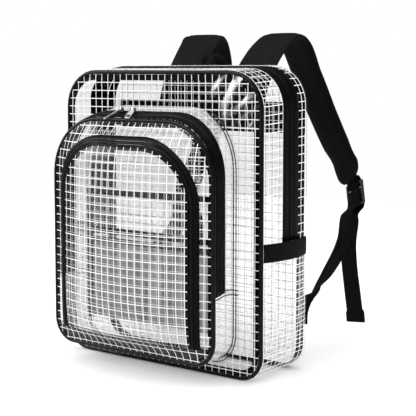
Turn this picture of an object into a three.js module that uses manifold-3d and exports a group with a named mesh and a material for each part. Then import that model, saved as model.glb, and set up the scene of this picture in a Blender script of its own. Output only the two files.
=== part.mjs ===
// Clear grid-film backpack. Millimetres, +Z up, front towards -Y.
// Origin: centre of the flat base of the main body, on the floor.
import * as THREE from 'three';
import { mergeVertices } from 'three/addons/utils/BufferGeometryUtils.js';
import Module from 'manifold-3d';

// Driving sizes
const FILM = 1.0;              // wall thickness of the clear film
const GAP = 0.3;               // air between touching pieces
const BODY_DEPTH = 95;         // front panel to back panel
const BACK_RISE = 6;           // how much taller the back is than the front
const PIPE = 5;                // piping diameter
const PIPE_SEAT = 4.8;         // film edge set in from the outline, beside the piping
const PIPE_ROUND = 0.29;       // share of the piping cut off at each corner of its section
const FLOOR_CLEAR = 0.2;       // the piping's underside stays this far above the base
const ARC_STEPS = 8;           // facets in a rounded corner

const FRONT_Y = -BODY_DEPTH / 2;
const BACK_Y = BODY_DEPTH / 2;
const BODY = { half: 150, bottom: 0, top: 355, rTop: 46, rBot: 30 };

const ZIP_END_Z = 163;         // main zip stops at the side pocket bands
const MAIN_ZIP = { y: 11, tape: 13.2, coil: 5.4 };
const COIL_PROUD = 0.8;         // how far a zip's teeth stand out of its tapes
const COIL_THICK = 2.4;
const BINDING = { width: 8, inset: 1.3, thick: 1.0 };
const HIDDEN_SLIDER = { z: 186, body: [4, 9, 13], plate: [1.6, 6, 24], drop: 10 };

const POCKET_DEPTH = 53;
const POCKET_Y = FRONT_Y - POCKET_DEPTH;
const POCKET = { half: 122.6, bottom: 23, top: 300, rTop: 70, rBot: 30 };
const POCKET_BASE = { half: 111, bottom: 22, top: 313 };
const POCKET_FLANGE = 8;
const POCKET_ZIP_END_Z = 104;
const POCKET_ZIP = { start: 5.1, tape: 9.6, coil: 5.0 };
const BULGE = 28;              // how far the pocket's face swells forward
const BULGE_EDGE = 22;         // ease from the piping to the swell

const ARCH = { half: 105.5, bottom: 45, top: 280.5, rTop: 74, rBot: 1 };
const ARCH_TAPE = 5.2;
const ARCH_COIL = 3.6;
const BACKING = { half: 110, bottom: 38, top: 286.5, rTop: 76, rBot: 12 };
const BACKING_SPACE = 8;
const BACKING_SEAT = 2.7;      // face to backing along its sewn edge
const BACKING_EASE = 30;
const TRIM_REACH = 20;         // how far a cutting prism runs past the face
const TRIM_MARGIN = 4;         // spare width of a sheet before it is trimmed
const ARCH_COIL_THICK = 2.0;
const ARCH_COIL_LIFT = 1.0;    // how far the arch zip's teeth stand out of its tapes
const ARCH_STEP = 22;          // longest facet along the arch
const FACE_CELLS = { across: 10, up: 12 };
const BACKING_CELLS = { across: 10, up: 10 };

const ORGANIZER = { half: 97, front: -66, bottom: 50, top: 212, midBand: 156 };
const EDGE_BAND = { width: 8, thick: 1.2 };
const MESH = { half: 88.7, bottom: 54, top: 152, thick: 1.0 };

const SIDE = { half: 42.4, bottom: 30, bandBottom: 139, bandTop: 160, bandThick: 2.0, swell: 8, ease: 70 };
const SIDE_CELLS = { across: 10, pocketUp: 6, bandUp: 1 };

const YOKE = { half: 145, bottom: 280, top: 317, thick: 3 };
const YOKE_FACE = BACK_Y + GAP + YOKE.thick;
const STRAP_THICK = 8;
const STRAP_EDGE = 0.3;        // share of the thickness left at a strap's sewn edge
const WEB_WIDTH = 25;
const WEB_THICK = 1.6;
const TAB_WIDTH = 22;
const STEPS = { strap: 30, webbing: 61, tab: 24, handle: 32 };
const STRAP_ACROSS = 4;        // facets across a padded strap

const BUCKLE = {
  at: [136.1, 186, 195.2], down: [0.299, -0.313, -0.901], turn: -24.4,
  width: 33, slot: 27, bar: 3.4, pitch: 14, thick: 4, bevel: 0.8,
};

// Right strap, yoke to buckle: centre line, width and turn of its width about Z
const STRAP_COLUMNS = ['x', 'y', 'z', 'width', 'turn', 'thick'];
const STRAP_TABLE = [
  [54, 55.6, 285, 56, 0, 0.9],
  [54, 55.6, 312, 56, 0, 0.9],
  [54.5, 63, 335, 56, 0, 1],
  [55, 80, 360, 56, 0, 1],
  [58, 107, 387, 57, -4, 1],
  [63, 126, 398, 57, -6, 1],
  [66.5, 147, 389, 51, -6, 1],
  [72.2, 168, 350, 46, -4, 1],
  [88.1, 177.5, 303.8, 43, -2, 1],
  [106.7, 186.7, 257.1, 42, -4, 1],
  [117.3, 192.7, 232.8, 40, -10, 0.9],
  [128.45, 183.35, 212.5, 30, -22, 0.68],
];

// Lower webbing from the back panel up to the buckle, and the free tail down from it
const WEB_COLUMNS = ['x', 'y', 'z', 'width', 'turn', 'thick'];
const WEB_LOWER_TABLE = [
  [137.5, 49.2, 56, 25, 0, 1],
  [138, 49.4, 67, 25, 0, 1],
  [139.5, 59.5, 78, 25, -18, 1],
  [143.5, 78, 88, 25, -64, 1],
  [139, 116, 106, 25, -36, 1],
  [135, 158, 138, 25, -20, 1],
];
const WEB_TAIL_TABLE = [
  [126.1, 188, 137.4, 25, -12, 1],
  [126.5, 188, 108, 25, -8, 1],
  [131, 189, 70, 25, -6, 1],
  [135, 189, 44, 25, -6, 1],
  [135.6, 189, 41, 28, -6, 2.4],
  [137, 189, 28, 28, -6, 2.4],
];

// How webbing turns over the buckle's middle bar: place along the buckle, and how far
// it lies off the bar's face (in front when positive, at the bar itself when zero), and
// where given, how far it has drifted sideways
const WEB_TURN = [
  [26, -13, -4],
  [16, -5.2, -1],
  [6, -3.3],
  [-2.6, -3.1],
  [-5.6, 0],
  [-2.6, 3.1],
  [6, 3.3],
  [15, 3.7, -2],
  [24, 0.5, -9],
];

// The same for the short loop round the buckle's top bar, measured from that bar
const TAB_TURN = [
  [-9, -1.1],
  [-4, 2.6],
  [0, 3.2],
  [2.2, 3.1],
  [4.4, 0],
  [2.2, -3.1],
  [0, -3.2],
  [-4, -3.4],
  [-9, -3.5],
];

// Grab handle: half of the loop, mirrored
const HANDLE_COLUMNS = ['x', 'y', 'z', 'width', 'turn'];
const HANDLE_TABLE = [
  [14, 52.4, 290, 20, 0],
  [14, 52.4, 316, 20, 0],
  [15.5, 55, 334, 20, 25],
  [15, 60, 354, 20, 65],
  [9, 62, 369, 20, 88],
  [0, 62.5, 374, 20, 90],
];
const HANDLE_THICK = 2.4;

// Zip pulls: crown pin, direction at rest, plate size
const PULLS = {
  left: { pin: [-26.5, -83, 310.2], along: [-0.336, -0.81, -0.44], length: 26, width: 4.6, open: false },
  right: { pin: [-8.6, -83, 310.2], along: [0.291, -0.818, -0.45], length: 21.5, width: 7, open: true },
};
const CROWN = {
  pinR: 0.8, eyeR: 1.1, knuckleR: 1.9, knuckle: 3.2, play: 1.0,
  post: 1.2, postDeep: 2.6, overPin: 1.1, sunk: 0.8, plate: 1.2,
};
const PULL_NECK = { from: 1.4, to: 5.4, root: 3.2, shoulder: 6.5, chamfer: 1, taper: 0.3 };
const PULL_WINDOW = { from: 7, to: 1.8, frame: 1.3 };
const SLIDER = { x: 9.5, y: 6, z: 1.2, seat: 1.9 };
const ROUND_SIDES = { pin: 10, knuckle: 14 };

// Colours only tell the pieces apart here
const FINISH = {
  film: { color: 0xdfe6ea, roughness: 0.1, metalness: 0 },
  trim: { color: 0x141416, roughness: 0.5, metalness: 0 },
  tape: { color: 0x1b1b1d, roughness: 0.8, metalness: 0 },
  strap: { color: 0x101012, roughness: 0.9, metalness: 0 },
  mesh: { color: 0x8b8e92, roughness: 0.8, metalness: 0 },
  metal: { color: 0xc9ccd0, roughness: 0.3, metalness: 1 },
  plastic: { color: 0x1d1d20, roughness: 0.4, metalness: 0 },
};

const wasm = await Module();
wasm.setup();

const bag = new THREE.Group();
bag.name = 'backpack';

// General helpers

/** Strips what welding cannot merge and joins equal corners. */
function weld(geometry) {
  geometry.deleteAttribute('normal');
  geometry.deleteAttribute('uv');
  const welded = mergeVertices(geometry, 1e-4);
  welded.computeVertexNormals();
  return welded;
}

/** Moves every corner with fn(vector). */
function reshape(geometry, fn) {
  const place = geometry.getAttribute('position');
  const v = new THREE.Vector3();
  for (let i = 0; i < place.count; i += 1) {
    v.fromBufferAttribute(place, i);
    fn(v);
    place.setXYZ(i, v.x, v.y, v.z);
  }
  return geometry;
}

function toManifold(geometry) {
  const g = weld(geometry);
  return new wasm.Manifold(new wasm.Mesh({
    numProp: 3,
    vertProperties: Float32Array.from(g.getAttribute('position').array),
    triVerts: Uint32Array.from(g.getIndex().array),
  }));
}

function fromManifold(body) {
  const mesh = body.getMesh();
  const places = new Float32Array(mesh.numVert * 3);
  for (let i = 0; i < mesh.numVert; i += 1) {
    for (let k = 0; k < 3; k += 1) places[i * 3 + k] = mesh.vertProperties[i * mesh.numProp + k];
  }
  const g = new THREE.BufferGeometry();
  g.setAttribute('position', new THREE.BufferAttribute(places, 3));
  g.setIndex(new THREE.BufferAttribute(Uint32Array.from(mesh.triVerts), 1));
  return g;
}

const join = (...solids) => fromManifold(solids.map(toManifold).reduce((a, b) => a.add(b)));
const cut = (...solids) => fromManifold(solids.map(toManifold).reduce((a, b) => a.subtract(b)));
const common = (a, b) => fromManifold(toManifold(a).intersect(toManifold(b)));

function addPart(name, geometry, finish) {
  const mesh = new THREE.Mesh(weld(geometry), new THREE.MeshStandardMaterial(FINISH[finish]));
  mesh.name = name;
  bag.add(mesh);
}

/** Adds a piece and its mirror image across X = 0. */
function addPair(name, make, finish) {
  addPart(`${name}_right`, make(), finish);
  const twin = make();
  const flipped = twin.index ? twin.toNonIndexed() : twin;
  const place = flipped.getAttribute('position');
  for (let i = 0; i < place.count; i += 3) {
    const b = new THREE.Vector3().fromBufferAttribute(place, i + 1);
    const c = new THREE.Vector3().fromBufferAttribute(place, i + 2);
    place.setXYZ(i + 1, c.x, c.y, c.z);
    place.setXYZ(i + 2, b.x, b.y, b.z);
  }
  addPart(`${name}_left`, reshape(flipped, (v) => { v.x = -v.x; }), finish);
}

// Outlines in the X-Z plane

/** The same outline drawn a distance further in (out when negative). */
const inset = (o, d) => ({
  half: o.half - d, bottom: o.bottom + d, top: o.top - d,
  rTop: Math.max(o.rTop - d, 0.5), rBot: Math.max(o.rBot - d, 0.5),
});

function corner(points, cx, cz, r, from) {
  for (let i = 0; i <= ARC_STEPS; i += 1) {
    const a = THREE.MathUtils.degToRad(from + (90 * i) / ARC_STEPS);
    points.push(new THREE.Vector2(cx + r * Math.cos(a), cz + r * Math.sin(a)));
  }
}

/** Closed rounded outline, anticlockwise. */
function loop(o) {
  const p = [];
  corner(p, o.half - o.rBot, o.bottom + o.rBot, o.rBot, 270);
  corner(p, o.half - o.rTop, o.top - o.rTop, o.rTop, 0);
  corner(p, o.rTop - o.half, o.top - o.rTop, o.rTop, 90);
  corner(p, o.rBot - o.half, o.bottom + o.rBot, o.rBot, 180);
  return p;
}

/** Open run of the outline from the right side over the top to the left side. */
function overTop(o, endZ) {
  const p = [new THREE.Vector2(o.half, endZ)];
  corner(p, o.half - o.rTop, o.top - o.rTop, o.rTop, 0);
  corner(p, o.rTop - o.half, o.top - o.rTop, o.rTop, 90);
  p.push(new THREE.Vector2(-o.half, endZ));
  return p;
}

/** Open run of the outline from the left side under the bottom to the right side. */
function underBottom(o, endZ) {
  const p = [new THREE.Vector2(-o.half, endZ)];
  corner(p, o.rBot - o.half, o.bottom + o.rBot, o.rBot, 180);
  corner(p, o.half - o.rBot, o.bottom + o.rBot, o.rBot, 270);
  p.push(new THREE.Vector2(o.half, endZ));
  return p;
}

/** Outline points with no side longer than a step, so the piece can be curved later. */
function refine(points, step) {
  const p = [];
  points.forEach((a, i) => {
    const b = points[(i + 1) % points.length];
    const n = Math.max(1, Math.ceil(a.distanceTo(b) / step));
    for (let k = 0; k < n; k += 1) p.push(a.clone().lerp(b, k / n));
  });
  return p;
}

/** Solid between two depths with an X-Z outline and holes. */
function prism(points, y0, y1, holes = [], bevel = 0) {
  const shape = new THREE.Shape(points);
  holes.forEach((h) => shape.holes.push(new THREE.Path(h)));
  const g = new THREE.ExtrudeGeometry(shape, {
    depth: y1 - y0 - 2 * bevel, steps: 1, bevelEnabled: bevel > 0,
    bevelThickness: bevel, bevelSize: bevel, bevelOffset: 0, bevelSegments: 1,
  });
  return g.rotateX(Math.PI / 2).translate(0, y1 - bevel, 0);
}

/** Strip of wall: an open run of an outline with a thickness, between two depths. */
function wall(run, o, thick, endZ, y0, y1) {
  return prism([...run(o, endZ), ...run(inset(o, thick), endZ).reverse()], y0, y1);
}

/** Round trim along a closed outline whose outer edge it touches. */
function piping(o, y0) {
  const bevel = PIPE * PIPE_ROUND;
  return prism(loop(inset(o, bevel)), y0, y0 + PIPE, [loop(inset(o, PIPE - bevel)).reverse()], bevel);
}

/** Raises the body towards its back. */
const rake = (g) => reshape(g, (v) => {
  v.z *= 1 + (BACK_RISE / BODY.top) * ((v.y - FRONT_Y) / BODY_DEPTH);
});

// Curves of the pocket

/** Narrows the pocket from its front outline to its sewn base. */
const taper = (g) => reshape(g, (v) => {
  const t = THREE.MathUtils.clamp((FRONT_Y - v.y) / POCKET_DEPTH, 0, 1);
  const half = THREE.MathUtils.lerp(POCKET_BASE.half, POCKET.half, t);
  const low = THREE.MathUtils.lerp(POCKET_BASE.bottom, POCKET.bottom, t);
  const high = THREE.MathUtils.lerp(POCKET_BASE.top, POCKET.top, t);
  v.x *= half / POCKET.half;
  v.z = low + ((v.z - POCKET.bottom) / (POCKET.top - POCKET.bottom)) * (high - low);
});

/** Distance inside a rounded outline, zero on it and outside. */
function depthInside(o, x, z) {
  const mid = (o.top + o.bottom) / 2;
  const r = z > mid ? o.rTop : o.rBot;
  const qx = Math.abs(x) - (o.half - r);
  const qz = Math.abs(z - mid) - ((o.top - o.bottom) / 2 - r);
  const out = Math.hypot(Math.max(qx, 0), Math.max(qz, 0)) + Math.min(Math.max(qx, qz), 0) - r;
  return Math.max(-out, 0);
}

const ease = (t) => { const s = THREE.MathUtils.clamp(t, 0, 1); return s * (2 - s); };

const PANEL = inset(POCKET, PIPE_SEAT);

/** How far the pocket's face stands forward of its piping at a point. */
function swell(x, z) {
  const u = Math.min(Math.abs(x) / PANEL.half, 1);
  const mid = (PANEL.top + PANEL.bottom) / 2;
  const v = Math.min(Math.abs(z - mid) / ((PANEL.top - PANEL.bottom) / 2), 1);
  return BULGE * (1 - u ** 2) * (1 - v ** 6) * ease(depthInside(PANEL, x, z) / BULGE_EDGE);
}

/** Curved sheet: a gridded slab bent to the face's swell, trimmed to an outline. */
function faceSheet(o, cells, behind) {
  const w = 2 * o.half + TRIM_MARGIN;
  const h = o.top - o.bottom + TRIM_MARGIN;
  const slab = new THREE.BoxGeometry(w, FILM, h, cells.across, 1, cells.up);
  slab.translate(0, FILM / 2, (o.top + o.bottom) / 2);
  const bent = reshape(slab, (v) => { v.y += POCKET_Y - swell(v.x, v.z) + behind(v.x, v.z); });
  return common(bent, prism(loop(o), POCKET_Y - BULGE - TRIM_REACH, FRONT_Y));
}

/** Flat strip of the arch bent to the face's swell. */
function archStrip(from, to, thick, lift) {
  const outer = overTop(inset(ARCH, from), ARCH.bottom);
  const inner = overTop(inset(ARCH, to), ARCH.bottom);
  const flat = prism(refine([...outer, ...inner.reverse()], ARCH_STEP), 0, thick);
  return reshape(flat, (v) => { v.y += POCKET_Y - swell(v.x, v.z) - lift; });
}

// Strips that follow a line in space

const rowsOf = (columns, table) => table.map(
  (row) => Object.fromEntries(columns.map((c, i) => [c, row[i]])),
);

/** Looks a column up between table rows, smoothly spaced like the curve. */
function between(rows, key, t) {
  const f = t * (rows.length - 1);
  const i = Math.min(Math.floor(f), rows.length - 2);
  return THREE.MathUtils.lerp(rows[i][key], rows[i + 1][key], f - i);
}

const sideAt = (deg) => {
  const a = THREE.MathUtils.degToRad(deg);
  return new THREE.Vector3(Math.cos(a), Math.sin(a), 0);
};

/** Direction of a strip's width: a row's own vector, or its turn about Z. */
function sideBetween(rows, t) {
  const f = t * (rows.length - 1);
  const i = Math.min(Math.floor(f), rows.length - 2);
  const [a, b] = [rows[i], rows[i + 1]].map((r) => (r.side ? r.side.clone() : sideAt(r.turn)));
  return a.lerp(b, f - i);
}

/** Strip with its own width, thickness and side direction along a smooth line. */
function ribbon(rows, steps, across, section) {
  const line = rows.map((r) => new THREE.Vector3(r.x, r.y, r.z));
  const curve = new THREE.CatmullRomCurve3(line, false, 'centripetal');
  const g = new THREE.BoxGeometry(1, 1, 1, across, 1, steps);
  return reshape(g, (v) => {
    const t = v.z + 0.5;
    const at = curve.getPoint(t);
    const ahead = curve.getTangent(t);
    const right = sideBetween(rows, t);
    right.addScaledVector(ahead, -right.dot(ahead)).normalize();
    const up = ahead.clone().cross(right);
    const [u, w] = [v.x, v.y];
    const { width, thick } = section(t, u * 2);
    v.copy(at).addScaledVector(right, u * width).addScaledVector(up, w * thick);
  });
}

// Main body

function addBody() {
  const edge = inset(BODY, PIPE_SEAT);
  addPart('main_front_panel', prism(loop(edge), FRONT_Y, FRONT_Y + FILM), 'film');
  addPart('back_panel', rake(prism(loop(edge), BACK_Y - FILM, BACK_Y)), 'film');

  const zipFront = MAIN_ZIP.y - MAIN_ZIP.coil / 2 - GAP;
  const zipRear = MAIN_ZIP.y + MAIN_ZIP.coil / 2 + GAP;
  const front = [FRONT_Y + PIPE_SEAT, zipFront - MAIN_ZIP.tape - GAP];
  const rear = [zipRear + MAIN_ZIP.tape + GAP, BACK_Y - PIPE_SEAT];
  addPart('gusset_front_strip', rake(wall(overTop, BODY, FILM, ZIP_END_Z, ...front)), 'film');
  addPart('gusset_rear_strip', rake(wall(overTop, BODY, FILM, ZIP_END_Z, ...rear)), 'film');
  addPart('gusset_base', rake(wall(underBottom, BODY, FILM, ZIP_END_Z - GAP, front[0], rear[1])), 'film');

  const tapeFront = [zipFront - MAIN_ZIP.tape, zipFront];
  const tapeRear = [zipRear, zipRear + MAIN_ZIP.tape];
  const coil = [zipFront + GAP, zipRear - GAP];
  const proud = inset(BODY, -COIL_PROUD);
  addPart('main_zip_tape_front', rake(wall(overTop, BODY, FILM, ZIP_END_Z, ...tapeFront)), 'tape');
  addPart('main_zip_tape_rear', rake(wall(overTop, BODY, FILM, ZIP_END_Z, ...tapeRear)), 'tape');
  addPart('main_zip_coil', rake(wall(overTop, proud, COIL_THICK, ZIP_END_Z, ...coil)), 'tape');

  const pipeLine = { ...BODY, bottom: FLOOR_CLEAR };
  addPart('front_piping', piping(pipeLine, FRONT_Y), 'trim');
  addPart('back_piping', rake(piping(pipeLine, BACK_Y - PIPE)), 'film');

  const bind = inset(BODY, BINDING.inset);
  const last = BACK_Y - PIPE - GAP;
  const ring = prism(loop(bind), last - BINDING.width, last, [loop(inset(bind, BINDING.thick)).reverse()]);
  addPart('back_binding', rake(ring), 'trim');

  const { body, plate, z, drop } = HIDDEN_SLIDER;
  const onCoil = -BODY.half - COIL_PROUD - GAP;
  const slider = new THREE.BoxGeometry(...body).translate(onCoil - body[0] / 2, MAIN_ZIP.y, z);
  const tag = new THREE.BoxGeometry(...plate);
  tag.translate(onCoil - body[0] - plate[0] / 4, MAIN_ZIP.y, z - drop);
  addPart('main_zip_slider', join(slider, tag), 'metal');
}

// Large front pocket with its zip

function addPocket() {
  const coil0 = ARCH_TAPE + GAP;
  const tape0 = coil0 + ARCH_COIL + GAP;
  const archEnd = tape0 + ARCH_TAPE;
  const outer = overTop(inset(ARCH, -GAP), ARCH.bottom - GAP);
  const inner = overTop(inset(ARCH, archEnd + GAP), ARCH.bottom - GAP);
  const slot = prism([...outer, ...inner.reverse()], POCKET_Y - BULGE - TRIM_REACH, FRONT_Y);
  addPart('pocket_front_panel', cut(faceSheet(PANEL, FACE_CELLS, () => 0), slot), 'film');

  addPart('arch_zip_tape_outer', archStrip(0, ARCH_TAPE, FILM, 0), 'tape');
  addPart('arch_zip_coil', archStrip(coil0, coil0 + ARCH_COIL, ARCH_COIL_THICK, ARCH_COIL_LIFT), 'tape');
  addPart('arch_zip_tape_inner', archStrip(tape0, archEnd, FILM, 0), 'tape');

  const behind = (x, z) => {
    const room = ease(depthInside(BACKING, x, z) / BACKING_EASE);
    return BACKING_SEAT + BACKING_SPACE * room;
  };
  addPart('flat_pocket_backing', faceSheet(BACKING, BACKING_CELLS, behind), 'film');

  const zip0 = POCKET_Y + POCKET_ZIP.start;
  const zip1 = zip0 + POCKET_ZIP.tape + GAP;
  const zip2 = zip1 + POCKET_ZIP.coil + GAP;
  const zip3 = zip2 + POCKET_ZIP.tape + GAP;
  const base = FRONT_Y - GAP;
  addPart('pocket_piping', piping(POCKET, POCKET_Y), 'trim');
  const strip = (o, thick, y0, y1) => taper(wall(overTop, o, thick, POCKET_ZIP_END_Z, y0, y1));
  const proud = inset(POCKET, -COIL_PROUD);
  addPart('pocket_zip_tape_front', strip(POCKET, FILM, zip0, zip1 - GAP), 'tape');
  addPart('pocket_zip_coil', strip(proud, COIL_THICK, zip1, zip2 - GAP), 'tape');
  addPart('pocket_zip_tape_rear', strip(POCKET, FILM, zip2, zip3 - GAP), 'tape');

  const lip = inset(POCKET, -POCKET_FLANGE);
  const root = inset(POCKET, FILM);
  const flange = (run, endZ) => {
    const band = [...run(lip, endZ), ...run(root, endZ).reverse()];
    return taper(prism(band, base - FILM, base));
  };
  const lowerZ = POCKET_ZIP_END_Z - GAP;
  const lower = taper(wall(underBottom, POCKET, FILM, lowerZ, zip0, base));
  const upper = strip(POCKET, FILM, zip3, base);
  addPart('pocket_gusset_upper', join(upper, flange(overTop, POCKET_ZIP_END_Z)), 'film');
  addPart('pocket_gusset_lower', join(lower, flange(underBottom, lowerZ)), 'film');

  Object.entries(PULLS).forEach(([hand, pull]) => addZipper(hand, pull));
}

/** Slider with the crown that carries its pull: posts and a pin. */
function makeSlider(pin, axis) {
  const up = new THREE.Vector3(0, 0, 1);
  const heading = new THREE.Matrix4().makeBasis(axis, up.clone().cross(axis), up).setPosition(pin);
  const share = (FRONT_Y - pin.y) / POCKET_DEPTH;
  const topZ = THREE.MathUtils.lerp(POCKET_BASE.top, POCKET.top, share) + SLIDER.seat;
  const body = new THREE.BoxGeometry(SLIDER.x, SLIDER.y, SLIDER.z);
  body.translate(pin.x, pin.y, topZ + SLIDER.z / 2);
  const span = CROWN.knuckle + CROWN.play + 2 * CROWN.post;
  const bar = new THREE.CylinderGeometry(CROWN.pinR, CROWN.pinR, span, ROUND_SIDES.pin);
  bar.rotateZ(Math.PI / 2).applyMatrix4(heading);
  const tall = pin.z - topZ - SLIDER.z + CROWN.sunk + CROWN.overPin;
  const posts = [-1, 1].map((s) => {
    const post = new THREE.BoxGeometry(CROWN.post, CROWN.postDeep, tall);
    return post.translate((s * (span - CROWN.post)) / 2, 0, CROWN.overPin - tall / 2).applyMatrix4(heading);
  });
  return join(body, bar, ...posts);
}

/** Outline of a pull's plate, with a window in an open-ended one. */
function pullOutline(pull) {
  const { root, shoulder, chamfer } = PULL_NECK;
  const tip = pull.open ? pull.width / 2 : pull.width * PULL_NECK.taper;
  const right = [
    [CROWN.knuckle / 2, root],
    [pull.width / 2, shoulder],
    [tip, pull.length - chamfer],
    [tip - chamfer, pull.length],
  ];
  const left = right.map(([x, y]) => [-x, y]).reverse();
  const outline = new THREE.Shape([...right, ...left].map((p) => new THREE.Vector2(...p)));
  if (pull.open) {
    const w = pull.width / 2 - PULL_WINDOW.frame;
    const [low, high] = [pull.length - PULL_WINDOW.from, pull.length - PULL_WINDOW.to];
    const window = [[-w, low], [-w, high], [w, high], [w, low]];
    outline.holes.push(new THREE.Path(window.map((p) => new THREE.Vector2(...p))));
  }
  return outline;
}

/** Pull: a knuckle with its eye, a neck and a flat plate. */
function makePull(pull, frame) {
  const { knuckleR, knuckle, plate, eyeR } = CROWN;
  const ring = new THREE.CylinderGeometry(knuckleR, knuckleR, knuckle, ROUND_SIDES.knuckle);
  const neck = new THREE.BoxGeometry(knuckle, PULL_NECK.to - PULL_NECK.from, plate);
  neck.translate(0, (PULL_NECK.from + PULL_NECK.to) / 2, 0);
  const flat = new THREE.ExtrudeGeometry(pullOutline(pull), { depth: plate, bevelEnabled: false });
  flat.translate(0, 0, -plate / 2);
  const eye = new THREE.CylinderGeometry(eyeR, eyeR, 4 * knuckle, ROUND_SIDES.knuckle);
  const turned = [ring, eye].map((round) => round.rotateZ(Math.PI / 2));
  return cut(join(turned[0], neck, flat), turned[1]).applyMatrix4(frame);
}

function addZipper(hand, pull) {
  const pin = new THREE.Vector3(...pull.pin);
  const along = new THREE.Vector3(...pull.along).normalize();
  const axis = new THREE.Vector3(along.y, -along.x, 0).normalize();
  const up = axis.clone().cross(along).normalize();
  const frame = new THREE.Matrix4().makeBasis(axis, along, up).setPosition(pin);
  addPart(`slider_${hand}`, makeSlider(pin, axis), 'metal');
  addPart(`pull_${hand}`, makePull(pull, frame), 'metal');
}

// Organizer standing inside the large pocket

function addOrganizer() {
  const { half, front, bottom, top, midBand } = ORGANIZER;
  const back = FRONT_Y - GAP;
  const deep = back - front;
  const block = new THREE.BoxGeometry(2 * half, deep, top - bottom)
    .translate(0, front + deep / 2, (top + bottom) / 2);
  const room = new THREE.BoxGeometry(2 * (half - FILM), deep, top - bottom)
    .translate(0, front + deep / 2 + FILM, (top + bottom) / 2 + FILM);
  addPart('organizer_panel', cut(block, room), 'film');

  const strip = (x0, x1, z0, z1, thick = EDGE_BAND.thick) => {
    const flat = new THREE.BoxGeometry(x1 - x0, thick, z1 - z0);
    return flat.translate((x0 + x1) / 2, front - GAP - thick / 2, (z0 + z1) / 2);
  };
  const band = EDGE_BAND.width;
  const inner = half - band - GAP;
  addPart('organizer_binding_top', strip(-half, half, top - band, top), 'trim');
  addPart('organizer_binding_mid', strip(-inner, inner, midBand, midBand + band), 'trim');
  addPart('organizer_binding_right', strip(half - band, half, bottom, top - band - GAP), 'trim');
  addPart('organizer_binding_left', strip(-half, -half + band, bottom, top - band - GAP), 'trim');
  addPart('organizer_mesh', strip(-MESH.half, MESH.half, MESH.bottom, MESH.top, MESH.thick), 'mesh');
}

// Side pockets with their elastic bands

function sideSheet(z0, z1, thick, rows) {
  const g = new THREE.BoxGeometry(thick, 2 * SIDE.half, z1 - z0, 1, SIDE_CELLS.across, rows);
  g.translate(thick / 2, 0, (z0 + z1) / 2);
  return reshape(g, (v) => {
    const across = 1 - (v.y / SIDE.half) ** 2;
    v.x += BODY.half + GAP + SIDE.swell * across * ease((v.z - SIDE.bottom) / SIDE.ease);
  });
}

function addSidePockets() {
  const { bottom, bandBottom, bandTop, bandThick } = SIDE;
  addPair('side_pocket', () => sideSheet(bottom, bandBottom - GAP, FILM, SIDE_CELLS.pocketUp), 'film');
  addPair('side_band', () => sideSheet(bandBottom, bandTop, bandThick, SIDE_CELLS.bandUp), 'strap');
}

// Straps, buckles, webbing and handle

/** Buckle axes: across, down along the strap, and out of its face. */
function buckleFrame() {
  const down = new THREE.Vector3(...BUCKLE.down).normalize();
  const across = sideAt(BUCKLE.turn);
  across.addScaledVector(down, -across.dot(down)).normalize();
  return { at: new THREE.Vector3(...BUCKLE.at), across, down, out: across.clone().cross(down) };
}

/** Table row for a strip at a place given in the buckle's own axes. */
function buckleRow(f, along, out, width, aside = 0) {
  const p = f.at.clone().addScaledVector(f.down, along).addScaledVector(f.out, out);
  p.addScaledVector(f.across, aside);
  return { x: p.x, y: p.y, z: p.z, width, thick: 1, side: f.across };
}

function makeBuckle() {
  const f = buckleFrame();
  const { width, slot, bar, pitch, thick, bevel } = BUCKLE;
  const frameLong = 2 * pitch + bar;
  const slotLong = pitch - bar;
  const corners = (halfWide, mid, halfLong) => [[-1, -1], [1, -1], [1, 1], [-1, 1]]
    .map(([a, b]) => new THREE.Vector2(a * halfWide, mid + b * halfLong));
  const plate = new THREE.Shape(corners(width / 2 - bevel, 0, frameLong / 2 - bevel));
  [-1, 1].forEach((s) => {
    const hole = corners(slot / 2 + bevel, (s * pitch) / 2, slotLong / 2 + bevel);
    plate.holes.push(new THREE.Path(hole.reverse()));
  });
  const g = new THREE.ExtrudeGeometry(plate, {
    depth: thick - 2 * bevel, bevelEnabled: true, bevelThickness: bevel, bevelSize: bevel, bevelSegments: 1,
  });
  return g.translate(0, 0, bevel - thick / 2)
    .applyMatrix4(new THREE.Matrix4().makeBasis(f.across, f.down, f.out).setPosition(f.at));
}

function makeStrap() {
  const rows = rowsOf(STRAP_COLUMNS, STRAP_TABLE);
  return ribbon(rows, STEPS.strap, STRAP_ACROSS, (t, u) => ({
    width: between(rows, 'width', t),
    thick: STRAP_THICK * between(rows, 'thick', t) * (STRAP_EDGE + (1 - STRAP_EDGE) * (1 - u ** 4)),
  }));
}

function webStrip(rows, steps) {
  return ribbon(rows, steps, 1, (t) => ({
    width: between(rows, 'width', t),
    thick: WEB_THICK * between(rows, 'thick', t),
  }));
}

/** Lower webbing, its turn over the buckle's middle bar and the hanging tail. */
function makeWebbing() {
  const f = buckleFrame();
  const lower = rowsOf(WEB_COLUMNS, WEB_LOWER_TABLE);
  const turn = WEB_TURN.map(([along, out, aside]) => buckleRow(f, along, out, WEB_WIDTH, aside));
  const tail = rowsOf(WEB_COLUMNS, WEB_TAIL_TABLE);
  return webStrip([...lower, ...turn, ...tail], STEPS.webbing);
}

/** Short loop that ties the buckle's top bar to the strap's end. */
function makeTab() {
  const f = buckleFrame();
  const rows = TAB_TURN.map(([along, out]) => buckleRow(f, along - BUCKLE.pitch, out, TAB_WIDTH));
  return webStrip(rows, STEPS.tab);
}

function makeHandle() {
  const half = rowsOf(HANDLE_COLUMNS, HANDLE_TABLE);
  const far = half.slice(0, -1).map((r) => ({ ...r, x: -r.x, turn: 180 - r.turn })).reverse();
  const rows = [...half, ...far];
  return ribbon(rows, STEPS.handle, 1, (t) => ({
    width: between(rows, 'width', t), thick: HANDLE_THICK,
  }));
}

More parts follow.
